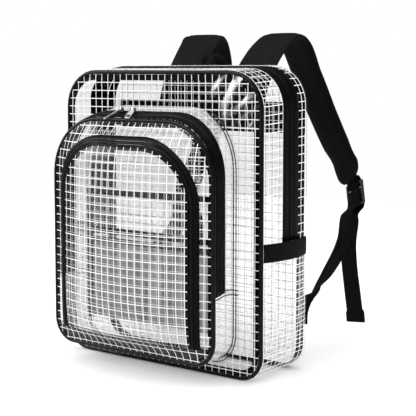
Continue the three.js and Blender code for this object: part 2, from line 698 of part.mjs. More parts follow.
function addCarrying() {
  const yoke = new THREE.BoxGeometry(2 * YOKE.half, YOKE.thick, YOKE.top - YOKE.bottom)
    .translate(0, YOKE_FACE - YOKE.thick / 2, (YOKE.top + YOKE.bottom) / 2);
  addPart('yoke_band', yoke, 'strap');
  addPart('grab_handle', makeHandle(), 'strap');
  addPair('strap', makeStrap, 'strap');
  addPair('strap_tab', makeTab, 'strap');
  addPair('buckle', makeBuckle, 'plastic');
  addPair('webbing', makeWebbing, 'strap');
}

addBody();
addPocket();
addOrganizer();
addSidePockets();
addCarrying();

export default bag;
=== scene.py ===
"""Clear grid-film backpack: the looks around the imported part.

Sizes are millimetres, as in the part's source, and finished meshes are in metres.
The bag's front faces -Y and it stands on Z = 0.
"""

import logging
import math
from collections.abc import Callable, Iterator, Sequence
from contextlib import contextmanager
from dataclasses import dataclass, field
from enum import Enum
from functools import cache
from typing import NamedTuple

import bmesh
import bpy
import numpy as np
from mathutils import Matrix, Vector


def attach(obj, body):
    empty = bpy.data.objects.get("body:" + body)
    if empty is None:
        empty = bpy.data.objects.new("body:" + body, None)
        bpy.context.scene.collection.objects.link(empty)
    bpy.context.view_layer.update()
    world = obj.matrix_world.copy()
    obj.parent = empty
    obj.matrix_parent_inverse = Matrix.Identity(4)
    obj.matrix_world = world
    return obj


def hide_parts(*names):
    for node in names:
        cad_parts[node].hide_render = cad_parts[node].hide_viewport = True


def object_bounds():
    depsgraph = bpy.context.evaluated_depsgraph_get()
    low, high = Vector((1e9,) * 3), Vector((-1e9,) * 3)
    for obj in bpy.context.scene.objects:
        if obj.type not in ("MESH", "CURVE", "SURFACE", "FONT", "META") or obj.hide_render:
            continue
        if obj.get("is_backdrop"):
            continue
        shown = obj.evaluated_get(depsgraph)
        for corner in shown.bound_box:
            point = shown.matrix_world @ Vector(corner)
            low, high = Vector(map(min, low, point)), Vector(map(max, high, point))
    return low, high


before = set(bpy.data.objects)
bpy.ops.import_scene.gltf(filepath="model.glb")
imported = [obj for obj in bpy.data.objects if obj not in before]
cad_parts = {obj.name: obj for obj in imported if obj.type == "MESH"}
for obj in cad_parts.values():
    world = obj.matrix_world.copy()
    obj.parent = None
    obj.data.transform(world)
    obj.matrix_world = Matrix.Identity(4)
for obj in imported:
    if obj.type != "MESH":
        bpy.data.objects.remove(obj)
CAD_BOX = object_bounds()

LOG = logging.getLogger("backpack")
MM = 0.001
FLAT_MAP = "flat"
PAINTED_HIGHLIGHT = "painted_highlight"
PITCH = 10.0
GAP = 0.3

Pair = tuple[float, float]
Cells = tuple[int, int]
Point = tuple[float, float, float]
Row = tuple[float, ...]
Rows = tuple[Row, ...]
Curve = Callable[[float], float]
Depth = Callable[[float, float], float]
Place = Callable[[float, float], Point]
Shape = Callable[[float, float, float], Point]
Piece = bpy.types.Object
Material = bpy.types.Material
Node = bpy.types.Node
Socket = bpy.types.NodeSocket
Tree = bpy.types.NodeTree


class Body(Enum):
    """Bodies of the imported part."""

    BAG = "bag"
    PULL_LEFT = "pull_left_body"
    PULL_RIGHT = "pull_right_body"


class Slot(Enum):
    """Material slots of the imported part."""

    FILM = "film"
    TRIM = "trim"
    TAPE = "tape"
    STRAP = "strap"
    MESH = "mesh"
    METAL = "metal"
    PLASTIC = "plastic"


class Hand(Enum):
    """The bag's right and left, as signs of X."""

    RIGHT = 1
    LEFT = -1

    @property
    def word(self) -> str:
        """The hand's name in lower case."""
        return self.name.lower()


def ease(t: float) -> float:
    """Rises from 0 to 1 and levels off."""
    s = min(max(t, 0.0), 1.0)
    return s * (2.0 - s)


def lerp(a: float, b: float, t: float) -> float:
    """Value a share t of the way from a to b."""
    return a + (b - a) * t


def grey(value: float, blue: float | None = None) -> Point:
    """Even grey, with its blue given apart where it has a cast."""
    return value, value, value if blue is None else blue


def distances(points: np.ndarray) -> np.ndarray:
    """How far along a line of points each of them lies."""
    return np.concatenate([[0.0], np.cumsum(np.linalg.norm(np.diff(points, axis=0), axis=1))])


class Span(NamedTuple):
    """A stretch from one place to another."""

    low: float
    high: float

    @property
    def mid(self) -> float:
        """Its middle."""
        return (self.low + self.high) / 2

    @property
    def wide(self) -> float:
        """Its width."""
        return self.high - self.low


class Run:
    """A line in the X-Z plane that knows its length and its outward normals."""

    def __init__(self, points: Sequence[Row]) -> None:
        """Keeps rows of x, z and the outward normal's x and z, in order along the line."""
        self.table = np.array(points, float)
        self.marks = distances(self.table[:, :2])
        self.length = float(self.marks[-1])

    def at(self, s: float) -> Row:
        """x, z and the outward normal's x and z at a distance along the line."""
        x, z, nx, nz = (float(np.interp(s, self.marks, self.table[:, k])) for k in range(4))
        size = math.hypot(nx, nz) or 1.0
        return x, z, nx / size, nz / size

    def off(self, s: float, out: float) -> Pair:
        """x and z at a distance along the line and a distance outwards."""
        x, z, nx, nz = self.at(s)
        return x + nx * out, z + nz * out

    def spread(self, count: int) -> list[Row]:
        """Such rows at even distances from end to end."""
        return [self.at(s) for s in np.linspace(0, self.length, count)]


@dataclass(frozen=True)
class Outline:
    """Rounded rectangle in the X-Z plane, even about X = 0."""

    half: float
    bottom: float
    top: float
    r_top: float
    r_bottom: float

    @property
    def mid(self) -> float:
        """Height of its middle."""
        return (self.top + self.bottom) / 2

    def inset(self, d: float) -> "Outline":
        """The same outline a distance further in."""
        radii = (max(r - d, 0.5) for r in (self.r_top, self.r_bottom))
        return Outline(self.half - d, self.bottom + d, self.top - d, *radii)

    def depth(self, x: float, z: float) -> float:
        """Distance from a place inside the outline to its edge, negative outside."""
        r = self.r_top if z > self.mid else self.r_bottom
        qx = abs(x) - (self.half - r)
        qz = abs(z - self.mid) - ((self.top - self.bottom) / 2 - r)
        return r - math.hypot(max(qx, 0.0), max(qz, 0.0)) - min(max(qx, qz), 0.0)

    def corner(self, side: int, upper: bool, first: float) -> list[Row]:
        """Quarter arc of one corner.

        Args:
            side: 1 for the right, -1 for the left.
            upper: True for a top corner.
            first: start angle in degrees.

        Returns:
            Points with their normals, anticlockwise.
        """
        r = self.r_top if upper else self.r_bottom
        cx = side * (self.half - r)
        cz = self.top - r if upper else self.bottom + r
        angles = np.radians(np.linspace(first, first + 90, 25))
        return [(cx + r * math.cos(a), cz + r * math.sin(a), math.cos(a), math.sin(a)) for a in angles]

    def over_top(self, end: float) -> Run:
        """From the right side over the top to the left side, down to a height."""
        arcs = self.corner(1, True, 0) + self.corner(-1, True, 90)
        return Run([(self.half, end, 1, 0), *arcs, (-self.half, end, -1, 0)])

    def under(self, end: float) -> Run:
        """From the left side under the bottom to the right side, up to a height."""
        arcs = self.corner(-1, False, 180) + self.corner(1, False, 270)
        return Run([(-self.half, end, -1, 0), *arcs, (self.half, end, 1, 0)])

    def around(self) -> Run:
        """The whole outline, closed, anticlockwise from the lower right."""
        right = self.corner(1, False, 270) + self.corner(1, True, 0)
        left = self.corner(-1, True, 90) + self.corner(-1, False, 180)
        return Run([*right, *left, right[0]])


class Bench:
    """Modelling operators, one piece at a time."""

    @staticmethod
    def clear() -> None:
        """Leaves edit mode and deselects everything."""
        active = bpy.context.view_layer.objects.active
        if active is not None and active.mode != "OBJECT":
            bpy.ops.object.mode_set(mode="OBJECT")
        bpy.ops.object.select_all(action="DESELECT")

    @staticmethod
    def take(piece: Piece) -> None:
        """Makes a piece the only selected and active one."""
        Bench.clear()
        piece.select_set(True)
        bpy.context.view_layer.objects.active = piece

    @staticmethod
    @contextmanager
    def editing(piece: Piece, mode: str = "VERT") -> Iterator[None]:
        """Edit mode on one piece, with all of its VERT, EDGE or FACE parts selected."""
        Bench.take(piece)
        bpy.ops.object.mode_set(mode="EDIT")
        bpy.ops.mesh.select_mode(type=mode)
        bpy.ops.mesh.select_all(action="SELECT")
        yield
        bpy.ops.object.mode_set(mode="OBJECT")

    @staticmethod
    def pick(piece: Piece, kind: str, test: Callable[..., bool]) -> None:
        """Selects the verts, edges or faces, in edit mode, whose corners' places pass a test."""
        bpy.ops.mesh.select_all(action="DESELECT")
        mesh = bmesh.from_edit_mesh(piece.data)
        for part in getattr(mesh, kind):
            part.select_set(test(*(v.co for v in getattr(part, "verts", [part]))))
        if kind == "verts":
            mesh.select_flush(True)
        bmesh.update_edit_mesh(piece.data)

    @staticmethod
    def named(name: str) -> Piece:
        """Names the primitive that was just added and returns it."""
        piece = bpy.context.object
        piece.name = name
        piece.data.name = name
        return piece

    @staticmethod
    def raw(name: str, places: Sequence, edges: Sequence, faces: Sequence) -> Piece:
        """New piece from places in metres, with its edges or its faces."""
        mesh = bpy.data.meshes.new(name)
        mesh.from_pydata(places, edges, faces)
        piece = bpy.data.objects.new(name, mesh)
        bpy.context.scene.collection.objects.link(piece)
        return piece

    @staticmethod
    def rounded(name: str, outline: Outline, arc: int = 10) -> Piece:
        """Flat plane with an outline's shape in millimetres, X across and Y up, arc facets in a corner."""
        Bench.clear()
        bpy.ops.mesh.primitive_plane_add(size=1)
        piece = Bench.named(name)
        with Bench.editing(piece):
            bpy.ops.transform.resize(value=(2 * outline.half, outline.top - outline.bottom, 1))
            bpy.ops.transform.translate(value=(0, outline.mid, 0))
            for radius, upper in ((outline.r_top, True), (outline.r_bottom, False)):
                Bench.pick(piece, "verts", lambda co, up=upper: (co.y > outline.mid) == up)
                bpy.ops.mesh.bevel(offset=radius, segments=arc, affect="VERTICES", profile=0.5)
        return piece

    @staticmethod
    def rule(piece: Piece, step: float, margin: float = 0.5) -> None:
        """Cuts lines into a flat piece with bisect, at every multiple of a step."""
        places = np.array([v.co for v in piece.data.vertices])
        with Bench.editing(piece):
            for axis in (0, 1):
                low, high = places[:, axis].min(), places[:, axis].max()
                normal = [0.0, 0.0, 0.0]
                normal[axis] = 1.0
                for k in range(math.ceil((low + margin) / step), math.floor((high - margin) / step) + 1):
                    bpy.ops.mesh.select_all(action="SELECT")
                    at = [n * k * step for n in normal]
                    bpy.ops.mesh.bisect(plane_co=at, plane_no=normal)

    @staticmethod
    def grid(name: str, size: Pair, cells: Cells) -> Piece:
        """Flat grid about the origin, its X along and its Y across, in millimetres."""
        Bench.clear()
        bpy.ops.mesh.primitive_grid_add(x_subdivisions=cells[0], y_subdivisions=cells[1], size=1)
        piece = Bench.named(name)
        with Bench.editing(piece):
            bpy.ops.transform.resize(value=(*size, 1))
        return piece

    @staticmethod
    def copy(piece: Piece, name: str) -> Piece:
        """Copy of a piece with its own mesh."""
        Bench.take(piece)
        bpy.ops.object.duplicate()
        return Bench.named(name)

    @staticmethod
    def keep_flat(piece: Piece) -> None:
        """Keeps each corner's flat place, in metres, as the piece's map."""
        layers = piece.data.uv_layers
        while layers:
            layers.remove(layers[0])
        layer = layers.new(name=FLAT_MAP)
        places = np.array([v.co[:2] for v in piece.data.vertices]) * MM
        index = np.zeros(len(piece.data.loops), int)
        piece.data.loops.foreach_get("vertex_index", index)
        layer.data.foreach_set("uv", places[index].ravel())

    @staticmethod
    def bend(piece: Piece, shape: Shape) -> None:
        """Moves every corner from its flat place to its place on the bag."""
        for v in piece.data.vertices:
            v.co = Vector(shape(*v.co)) * MM
        piece.data.update()

    @staticmethod
    def bend_off(piece: Piece, shape: Shape, squeeze: float) -> None:
        """Bends a piece that stands off its flat plane, along the sheet's own normal.

        Args:
            piece: a piece about a flat plane, in millimetres.
            shape: gives the place of the plane on the bag.
            squeeze: share of the height off the plane that is kept.
        """
        step = 0.4
        known: dict[Pair, tuple[Vector, Vector]] = {}
        for v in piece.data.vertices:
            x, y, off = v.co
            key = (round(x, 2), round(y, 2))
            if key not in known:
                along = Vector(shape(x + step, y, 0)) - Vector(shape(x - step, y, 0))
                across = Vector(shape(x, y + step, 0)) - Vector(shape(x, y - step, 0))
                known[key] = (Vector(shape(x, y, 0)), along.cross(across).normalized())
            at, normal = known[key]
            v.co = (at + normal * (off * squeeze)) * MM
        piece.data.update()

    @staticmethod
    def apply(piece: Piece, kind: str, **values: object) -> None:
        """Adds a modifier with its values and applies it."""
        Bench.take(piece)
        mod = piece.modifiers.new(kind.lower(), kind)
        for key, value in values.items():
            setattr(mod, key, value)
        bpy.ops.object.modifier_apply(modifier=mod.name)

    @staticmethod
    def bevel(piece: Piece, width: float, angle: float) -> None:
        """Rounds the edges that are sharper than an angle in degrees."""
        limit = {"limit_method": "ANGLE", "angle_limit": math.radians(angle)}
        Bench.apply(piece, "BEVEL", width=width * MM, segments=2, **limit)

    @staticmethod
    def smooth(piece: Piece, angle: float = 180.0) -> None:
        """Shades smooth across edges flatter than an angle in degrees."""
        Bench.take(piece)
        if angle >= 180:
            bpy.ops.object.shade_smooth()
        else:
            bpy.ops.object.shade_smooth_by_angle(angle=math.radians(angle))

    @staticmethod
    def even_normals(piece: Piece, weld: float = 0.0) -> None:
        """Turns all faces outwards, after welding corners that meet if asked to."""
        with Bench.editing(piece, "VERT" if weld else "FACE"):
            if weld:
                bpy.ops.mesh.remove_doubles(threshold=weld)
            bpy.ops.mesh.normals_make_consistent(inside=False)

    @staticmethod
    def thicken(flat: Piece, shape: Shape, thick: float, angle: float = 60.0, **extra: float) -> None:
        """Turns a flat piece into a thin sheet on the bag.

        Args:
            flat: the flat piece in millimetres.
            shape: bends it.
            thick: the sheet's thickness.
            angle: edges flatter than this are shaded smooth.
            extra: weld, how near the ends of a closed sheet meet in metres, or bevel, its rounded edges.
        """
        Bench.keep_flat(flat)
        Bench.bend(flat, shape)
        if "weld" in extra:
            Bench.even_normals(flat, extra["weld"])
        Bench.apply(flat, "SOLIDIFY", thickness=thick * MM, offset=0.0)
        if "bevel" in extra:
            Bench.bevel(flat, extra["bevel"], 30)
        Bench.smooth(flat, angle)

    @staticmethod
    def sheet(name: str, size: Pair, cells: Cells, shape: Shape, thick: float) -> Piece:
        """Thin sheet from a flat grid."""
        flat = Bench.grid(name, size, cells)
        Bench.thicken(flat, shape, thick)
        return flat

    @staticmethod
    def block(name: str, size: Pair, cells: Cells) -> Piece:
        """Flat grid with its map and two faces, above and below its plane."""
        flat = Bench.grid(name, size, cells)
        Bench.keep_flat(flat)
        Bench.apply(flat, "SOLIDIFY", thickness=1.0, offset=0.0)
        return flat

    @staticmethod
    def slab(name: str, size: Pair, cells: Cells, shape: Shape) -> Piece:
        """Thick band whose shape places its two faces by the sign of their height."""
        flat = Bench.block(name, size, cells)
        Bench.bend(flat, shape)
        Bench.even_normals(flat)
        Bench.smooth(flat, 50)
        return flat

    @staticmethod
    def ring(name: str, run: Run, wide: float, shape: Place, thick: float) -> Piece:
        """Flat tape that goes round a closed line, placed by the distance along and across."""
        flat = Bench.grid(name, (run.length, wide), (round(run.length / 8), 2))
        half = run.length / 2
        Bench.thicken(flat, lambda u, v, _w: shape(u + half, v), thick, 50, weld=0.00002)
        return flat

    @staticmethod
    def tube(piece: Piece, radius: float, sides: int = 0) -> Piece:
        """Turns the bare edges of a piece into round cords, with extra facets in each quarter."""
        Bench.take(piece)
        bpy.ops.object.convert(target="CURVE")
        line = bpy.context.object.data
        line.dimensions = "3D"
        line.bevel_depth = radius * MM
        line.bevel_resolution = sides
        line.use_fill_caps = True
        bpy.ops.object.convert(target="MESH")
        return bpy.context.object

    @staticmethod
    def join(name: str, pieces: Sequence[Piece]) -> Piece:
        """Joins pieces into one with a name."""
        Bench.take(pieces[0])
        for p in pieces[1:]:
            p.select_set(True)
        if len(pieces) > 1:
            bpy.ops.object.join()
        return Bench.named(name)

    @staticmethod
    def node_copy(name: str, node: str, bevel: float) -> Piece:
        """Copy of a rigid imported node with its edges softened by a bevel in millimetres."""
        piece = bpy.data.objects.new(name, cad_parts[node].data.copy())
        piece.data.name = name
        bpy.context.scene.collection.objects.link(piece)
        with Bench.editing(piece):
            bpy.ops.mesh.remove_doubles(threshold=0.00001)
            bpy.ops.mesh.dissolve_limited(angle_limit=math.radians(2))
        Bench.bevel(piece, bevel, 35)
        Bench.smooth(piece, 40)
        return piece


def finish(
    piece: Piece, material: Material, slot: Slot, nodes: Sequence[str] = (), body: Body = Body.BAG
) -> Piece:
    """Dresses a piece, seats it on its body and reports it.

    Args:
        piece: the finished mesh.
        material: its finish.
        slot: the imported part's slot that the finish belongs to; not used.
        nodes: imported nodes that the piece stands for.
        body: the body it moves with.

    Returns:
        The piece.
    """
    piece.data.materials.clear()
    piece.data.materials.append(material)
    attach(piece, body.value)
    if nodes:
        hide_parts(*nodes)
    LOG.info("%s: %d faces", piece.name, len(piece.data.polygons))
    return piece


class Wiring:
    """Shader nodes of one tree, added and linked by name."""

    def __init__(self, tree: Tree) -> None:
        """Empties the tree."""
        self.tree = tree
        tree.nodes.clear()

    def add(self, kind: str, **values: object) -> Node:
        """Adds a node and sets its inputs by name, or its own options.

        Args:
            kind: the node type without its ShaderNode prefix.
            values: input or option names with their values; spaces are underscores.

        Returns:
            The node.
        """
        node = self.tree.nodes.new("ShaderNode" + kind)
        for key, value in values.items():
            label = key.replace("_", " ")
            if label in node.inputs:
                node.inputs[label].default_value = value
            else:
                setattr(node, key, value)
        return node

    def wire(self, source: Socket, target: Socket) -> None:
        """Links an output to an input."""
        self.tree.links.new(source, target)

    def maths(self, operation: str, a: object, b: object = 0.0) -> Socket:
        """Adds a Math node on sockets or numbers and returns its output."""
        node = self.add("Math", operation=operation)
        for k, value in enumerate((a, b)):
            if isinstance(value, Socket):
                self.wire(value, node.inputs[k])
            else:
                node.inputs[k].default_value = value
        return node.outputs[0]

    def mixed(self, *sources: Socket) -> Socket:
        """Mixes two shaders by a share, given first, and returns the result."""
        mix = self.add("MixShader")
        for k, source in enumerate(sources):
            self.wire(source, mix.inputs[k])
        return mix.outputs[0]


def pattern_group(name: str, dial: str, outputs: Sequence[str]) -> tuple[Wiring, Node, Node]:
    """A new node group for a pattern.

    Args:
        name: the group's name.
        dial: its one value input, beside the coordinates.
        outputs: names of its value outputs.

    Returns:
        The group's wiring, its input node and its output node.
    """
    tree = bpy.data.node_groups.new(name, "ShaderNodeTree")
    sockets = [("Vector", "INPUT", "NodeSocketVector"), (dial, "INPUT", "NodeSocketFloat")]
    sockets += [(label, "OUTPUT", "NodeSocketFloat") for label in outputs]
    for label, way, kind in sockets:
        tree.interface.new_socket(label, in_out=way, socket_type=kind)
    wiring = Wiring(tree)
    return wiring, tree.nodes.new("NodeGroupInput"), tree.nodes.new("NodeGroupOutput")


@cache
def weave() -> Tree:
    """Plain weave: rows of threads that pass over and under each other."""
    w, given, out = pattern_group("plain_weave", "Threads", ["Height"])
    scaled = w.add("VectorMath", operation="SCALE")
    w.wire(given.outputs["Vector"], scaled.inputs[0])
    w.wire(given.outputs["Threads"], scaled.inputs["Scale"])
    parts = w.add("SeparateXYZ")
    w.wire(scaled.outputs[0], parts.inputs[0])
    turns = [w.maths("MULTIPLY", parts.outputs[axis], math.tau) for axis in "XY"]
    crossed = w.maths("MULTIPLY", *[w.maths("SINE", turn) for turn in turns])
    height = w.add("MapRange", From_Min=-1.0)
    w.wire(crossed, height.inputs["Value"])
    w.wire(height.outputs["Result"], out.inputs["Height"])
    return w.tree


@cache
def clouds() -> Tree:
    """Soft uneven patches at two sizes, for handling marks and dust."""
    w, given, out = pattern_group("soft_patches", "Size", ["Broad", "Fine"])
    for label, times in (("Broad", 1.0), ("Fine", 9.0)):
        noise = w.add("TexNoise", Detail=3.0)
        w.wire(given.outputs["Vector"], noise.inputs["Vector"])
        w.wire(w.maths("MULTIPLY", given.outputs["Size"], times), noise.inputs["Scale"])
        w.wire(noise.outputs["Fac"], out.inputs[label])
    return w.tree


class Recipe(Wiring):
    """A material under construction."""

    middle: Pair = (0.3, 0.7)

    def __init__(self, name: str) -> None:
        """Starts an empty material."""
        self.material = bpy.data.materials.new(name)
        self.material.use_nodes = True
        super().__init__(self.material.node_tree)

    def pattern(self, tree: Tree, scale: Point = (1.0, 1.0, 1.0), flat: bool = False, **dial: float) -> Node:
        """Places a shared pattern.

        Args:
            tree: the pattern's node group.
            scale: how often it repeats in a metre.
            flat: True to follow the piece's flat map, False for its place on the bag.
            dial: the group's own value.

        Returns:
            The pattern's node.
        """
        where = self.add("TexCoord")
        turn = self.add("Mapping", Scale=scale)
        self.wire(where.outputs["UV" if flat else "Object"], turn.inputs["Vector"])
        node = self.add("Group", node_tree=tree, **dial)
        self.wire(turn.outputs["Vector"], node.inputs["Vector"])
        return node

    def shade(self, factor: Socket, dark: Point, light: Point) -> Socket:
        """Colour from dark to light across the middle of a pattern."""
        ramp = self.add("ValToRGB")
        for k, colour in enumerate((dark, light)):
            end = ramp.color_ramp.elements[k]
            end.position, end.color = self.middle[k], (*colour, 1)
        self.wire(factor, ramp.inputs["Fac"])
        return ramp.outputs["Color"]

    def ranged(self, factor: Socket, low: float, high: float) -> Socket:
        """Spreads the middle of a pattern over a range of values."""
        start, end = self.middle
        span = self.add("MapRange", From_Min=start, From_Max=end, To_Min=low, To_Max=high)
        self.wire(factor, span.inputs["Value"])
        return span.outputs["Result"]

    def bump(self, height: Socket, strength: float, depth: float, *nodes: Node) -> None:
        """Tilts the normals of nodes by a pattern's height, its depth in millimetres."""
        bump = self.add("Bump", Strength=strength, Distance=depth * MM)
        self.wire(height, bump.inputs["Height"])
        for node in nodes:
            self.wire(bump.outputs["Normal"], node.inputs["Normal"])

    def close(self, shader: Socket) -> Material:
        """Wires the last shader to the output and returns the material."""
        self.wire(shader, self.add("OutputMaterial").inputs["Surface"])
        return self.material


@dataclass(frozen=True)
class FilmFinish:
    """Clear film: see-through, with gloss that grows at a slant, a faint haze, and a painted highlight on
    the creases, read from a vertex attribute.
    """

    name: str = "clear_film"
    tint: Point = (0.955, 0.956, 0.957)
    gloss: Point = (0.97, 0.98, 0.99)
    facing: float = 0.003
    slant: float = 5.0
    rim: float = 0.25
    mirror: float = 1.0
    ripple: float = 0.16
    # crease and matt: the gloss share and roughness that the painted crease highlight adds
    crease: float = 0.09
    rough: Pair = (0.05, 0.14)
    patches: float = 14.0
    matt: float = 0.5

    def make(self) -> Material:
        """Builds the material."""
        r = Recipe(self.name)
        marks = r.pattern(clouds(), Size=self.patches)
        gloss = r.add("BsdfPrincipled", Metallic=self.mirror, IOR=1.45)
        edge = r.add("LayerWeight", Blend=0.5)
        r.bump(marks.outputs["Broad"], self.ripple, 4.0, gloss, edge)
        r.wire(r.shade(marks.outputs["Fine"], self.tint, self.gloss), gloss.inputs["Base Color"])
        # Painted highlight: a vertex attribute that raises the gloss share and roughness on the lit side of
        # creases
        painted_highlight = r.add("Attribute", attribute_name=PAINTED_HIGHLIGHT).outputs["Fac"]
        grain = r.ranged(marks.outputs["Fine"], *self.rough)
        r.wire(r.maths("ADD", grain, r.maths("MULTIPLY", painted_highlight, self.matt)), gloss.inputs["Roughness"])
        rim = r.maths("MULTIPLY", r.maths("POWER", edge.outputs["Facing"], self.slant), self.rim)
        share = r.maths("ADD", rim, self.facing)
        share = r.maths("ADD", share, r.maths("MULTIPLY", painted_highlight, self.crease))
        clear = r.add("BsdfTransparent", Color=(*self.tint, 1))
        return r.close(r.mixed(share, clear.outputs[0], gloss.outputs[0]))


@dataclass(frozen=True)
class ClothFinish:
    """Woven cloth or tape: threads from the flat map, with soft worn patches."""

    name: str
    dark: Point
    light: Point
    threads: float
    depth: float
    rough: Pair = (0.7, 0.9)
    shine: float = 0.25
    sheen: float = 0.0
    stretch: Point = (1.0, 1.0, 1.0)
    patches: float = 18.0

    def make(self) -> Material:
        """Builds the material."""
        r = Recipe(self.name)
        height = r.pattern(weave(), self.stretch, True, Threads=self.threads).outputs["Height"]
        marks = r.pattern(clouds(), Size=self.patches)
        tone = r.maths("MULTIPLY", r.maths("ADD", height, marks.outputs["Broad"]), 0.5)
        skin = r.add("BsdfPrincipled", Specular_IOR_Level=self.shine, Sheen_Weight=self.sheen)
        r.wire(r.shade(tone, self.dark, self.light), skin.inputs["Base Color"])
        r.wire(r.ranged(marks.outputs["Fine"], *self.rough), skin.inputs["Roughness"])
        r.bump(height, 0.5, self.depth, skin)
        return r.close(skin.outputs[0])


@dataclass(frozen=True)
class SolidFinish:
    """Moulded or extruded surface: even colour with handling marks and a fine grain."""

    name: str
    dark: Point
    light: Point
    rough: Pair
    size: float = 30.0
    grain: float = 0.15
    metal: float = 0.0
    shine: float = 0.3
    glow: float = 0.0

    def make(self) -> Material:
        """Builds the material."""
        r = Recipe(self.name)
        marks = r.pattern(clouds(), Size=self.size)
        # glow is painted light: the surface emits it though it is no lamp
        glow = {"Emission_Color": (1, 1, 1, 1), "Emission_Strength": self.glow}
        skin = r.add("BsdfPrincipled", Metallic=self.metal, Specular_IOR_Level=self.shine, **glow)
        r.wire(r.shade(marks.outputs["Broad"], self.dark, self.light), skin.inputs["Base Color"])
        r.wire(r.ranged(marks.outputs["Fine"], *self.rough), skin.inputs["Roughness"])
        r.bump(marks.outputs["Fine"], self.grain, 0.4, skin)
        return r.close(skin.outputs[0])


@dataclass(frozen=True)
class NettingFinish:
    """Knitted mesh: dark yarn with rows of small holes, and pale vertical streaks painted on as light
    catching its pleats.
    """

    name: str = "knitted_mesh"
    yarn: Point = grey(0.12, 0.125)
    # pale colour of the streaks: painted light on the pleats
    wear_and_painted_pleat_light: Point = grey(0.5, 0.51)
    holes: float = 1100.0
    open_share: float = 0.45
    pleats: float = 170.0
    stretch: Point = (1.0, 1.0, 0.06)

    def make(self) -> Material:
        """Builds the material."""
        r = Recipe(self.name)
        height = r.pattern(weave(), flat=True, Threads=self.holes / 2).outputs["Height"]
        pleats = r.pattern(clouds(), self.stretch, Size=self.pleats)
        skin = r.add("BsdfPrincipled", Roughness=0.75, Specular_IOR_Level=0.2)
        # vertical streaks of painted pleat light over the dark yarn
        r.wire(r.shade(pleats.outputs["Broad"], self.yarn, self.wear_and_painted_pleat_light), skin.inputs["Base Color"])
        swing = r.maths("ABSOLUTE", r.maths("SUBTRACT", height, 0.5))
        r.wire(r.maths("LESS_THAN", swing, 0.5 - 0.5 * self.open_share), skin.inputs["Alpha"])
        r.bump(height, 0.4, 0.5, skin)
        return r.close(skin.outputs[0])


class Wardrobe:
    """Every finish of the bag, made once."""

    def __init__(self) -> None:
        """Builds the materials."""
        self.film = FilmFinish().make()
        self.bead_film = FilmFinish("clear_bead", facing=0.03, slant=3.5, rim=1.0, ripple=0.05).make()
        # whiter, partly opaque film on the pocket's walls: partly the real double layer of the folded seam,
        # partly painted glare
        self.seam_film_with_painted_glare = FilmFinish("seam_film_with_painted_glare", facing=0.2, rim=0.3, mirror=0.0).make()
        self.taut_film = FilmFinish("taut_film", ripple=0.03, rough=(0.2, 0.3)).make()
        self.wear_and_painted_pleat_light_film = FilmFinish("wear_and_painted_pleat_light_film", facing=0.025, mirror=0.0, ripple=0.03).make()
        white = (grey(0.90), grey(0.95), (0.5, 0.7), 400.0)
        self.thread = SolidFinish("white_yarn", *white).make()
        # painted glow: these yarns emit a faint light so they look brighter than the light reaching them
        # makes them
        self.painted_glow_thread = SolidFinish("painted_glow_yarn", *white, glow=0.15).make()
        self.painted_glow_thread.cycles.emission_sampling = "NONE"
        seam = (grey(0.008, 0.009), grey(0.018, 0.02))
        self.seam = SolidFinish("grey_seam", *seam, (0.5, 0.7), 300.0).make()
        self.trim = SolidFinish("black_piping", grey(0.002), grey(0.004), (0.3, 0.42), shine=0.1).make()
        black = (grey(0.001), grey(0.003))
        self.binding = ClothFinish("black_binding", *black, 900.0, 0.15, shine=0.05).make()
        # grey hem cloth, which also makes the band of painted shade at the front pocket's foot
        self.hem = ClothFinish("grey_hem_and_painted_shade", grey(0.02, 0.022), grey(0.04, 0.042), 800.0, 0.15).make()
        tape = (grey(0.001), grey(0.004))
        self.tape = ClothFinish("zip_tape", *tape, 1000.0, 0.12, (0.4, 0.55), 0.05).make()
        coil = ((0.35, 0.5), 0.08, 0.0, (1.0, 0.25, 1.0))
        self.coil = ClothFinish("zip_coil", *tape, 420.0, 0.5, *coil).make()
        # here: roughness, shine and sheen of worn cloth
        wear_and_painted_pleat_light = ((0.65, 0.85), 0.05, 0.01)
        self.strap = ClothFinish("strap_cloth", grey(0.002), grey(0.006), 700.0, 0.2, *wear_and_painted_pleat_light).make()
        self.webbing = ClothFinish("ribbed_webbing", *black, 450.0, 0.35, *wear_and_painted_pleat_light, (0.5, 1.0, 1.0)).make()
        rib = ((0.6, 0.8), 0.05, 0.01, (0.4, 1.0, 1.0))
        self.elastic = ClothFinish("ribbed_elastic", grey(0.002), grey(0.005), 500.0, 0.4, *rib).make()
        self.netting = NettingFinish().make()
        metal = (60.0, 0.06, 0.85, 0.5)
        bright, dull = (grey(0.50), grey(0.66, 0.65)), (grey(0.05, 0.052), grey(0.09, 0.092))
        self.metal = SolidFinish("polished_nickel", *bright, (0.24, 0.36), *metal).make()
        self.runner = SolidFinish("dark_nickel", *dull, (0.3, 0.42), *metal).make()
        plastic = (grey(0.012, 0.013), grey(0.02, 0.021))
        self.plastic = SolidFinish("black_acetal", *plastic, (0.3, 0.45), 50.0, 0.2).make()


@dataclass(frozen=True)
class Fold:
    """A soft crease in a film between two points, with a painted highlight on its upper side."""

    start: Pair
    end: Pair
    height: float
    width: float
    # strength of the painted highlight on the crease's upper side
    shine: float = 0.0

    def place(self, x: float, z: float) -> Pair:
        """Share of the way along the crease, and the distance off it in widths."""
        ax, az = self.start
        dx, dz = self.end[0] - ax, self.end[1] - az
        size = math.hypot(dx, dz)
        along = ((x - ax) * dx + (z - az) * dz) / size**2
        return along, (-(x - ax) * dz + (z - az) * dx) / size / self.width

    def lift(self, x: float, z: float) -> float:
        """How far the crease stands out at a place, in millimetres."""
        along, off = self.place(x, z)
        if not 0.0 < along < 1.0:
            return 0.0
        return self.height * math.sin(math.pi * along) ** 0.4 * max(1.05 - math.hypot(off, 0.2), 0.0)

    def painted_highlight(self, x: float, z: float) -> float:
        """Painted highlight on the crease's upper, lit side at a place, from 0 to 1."""
        along, off = self.place(x, z)
        if not 0.0 < along < 1.0:
            return 0.0
        fade = 1.0 - off if off > 0.0 else 1.0 + 5.0 * off
        return self.shine * math.sin(math.pi * along) ** 0.6 * max(fade, 0.0)


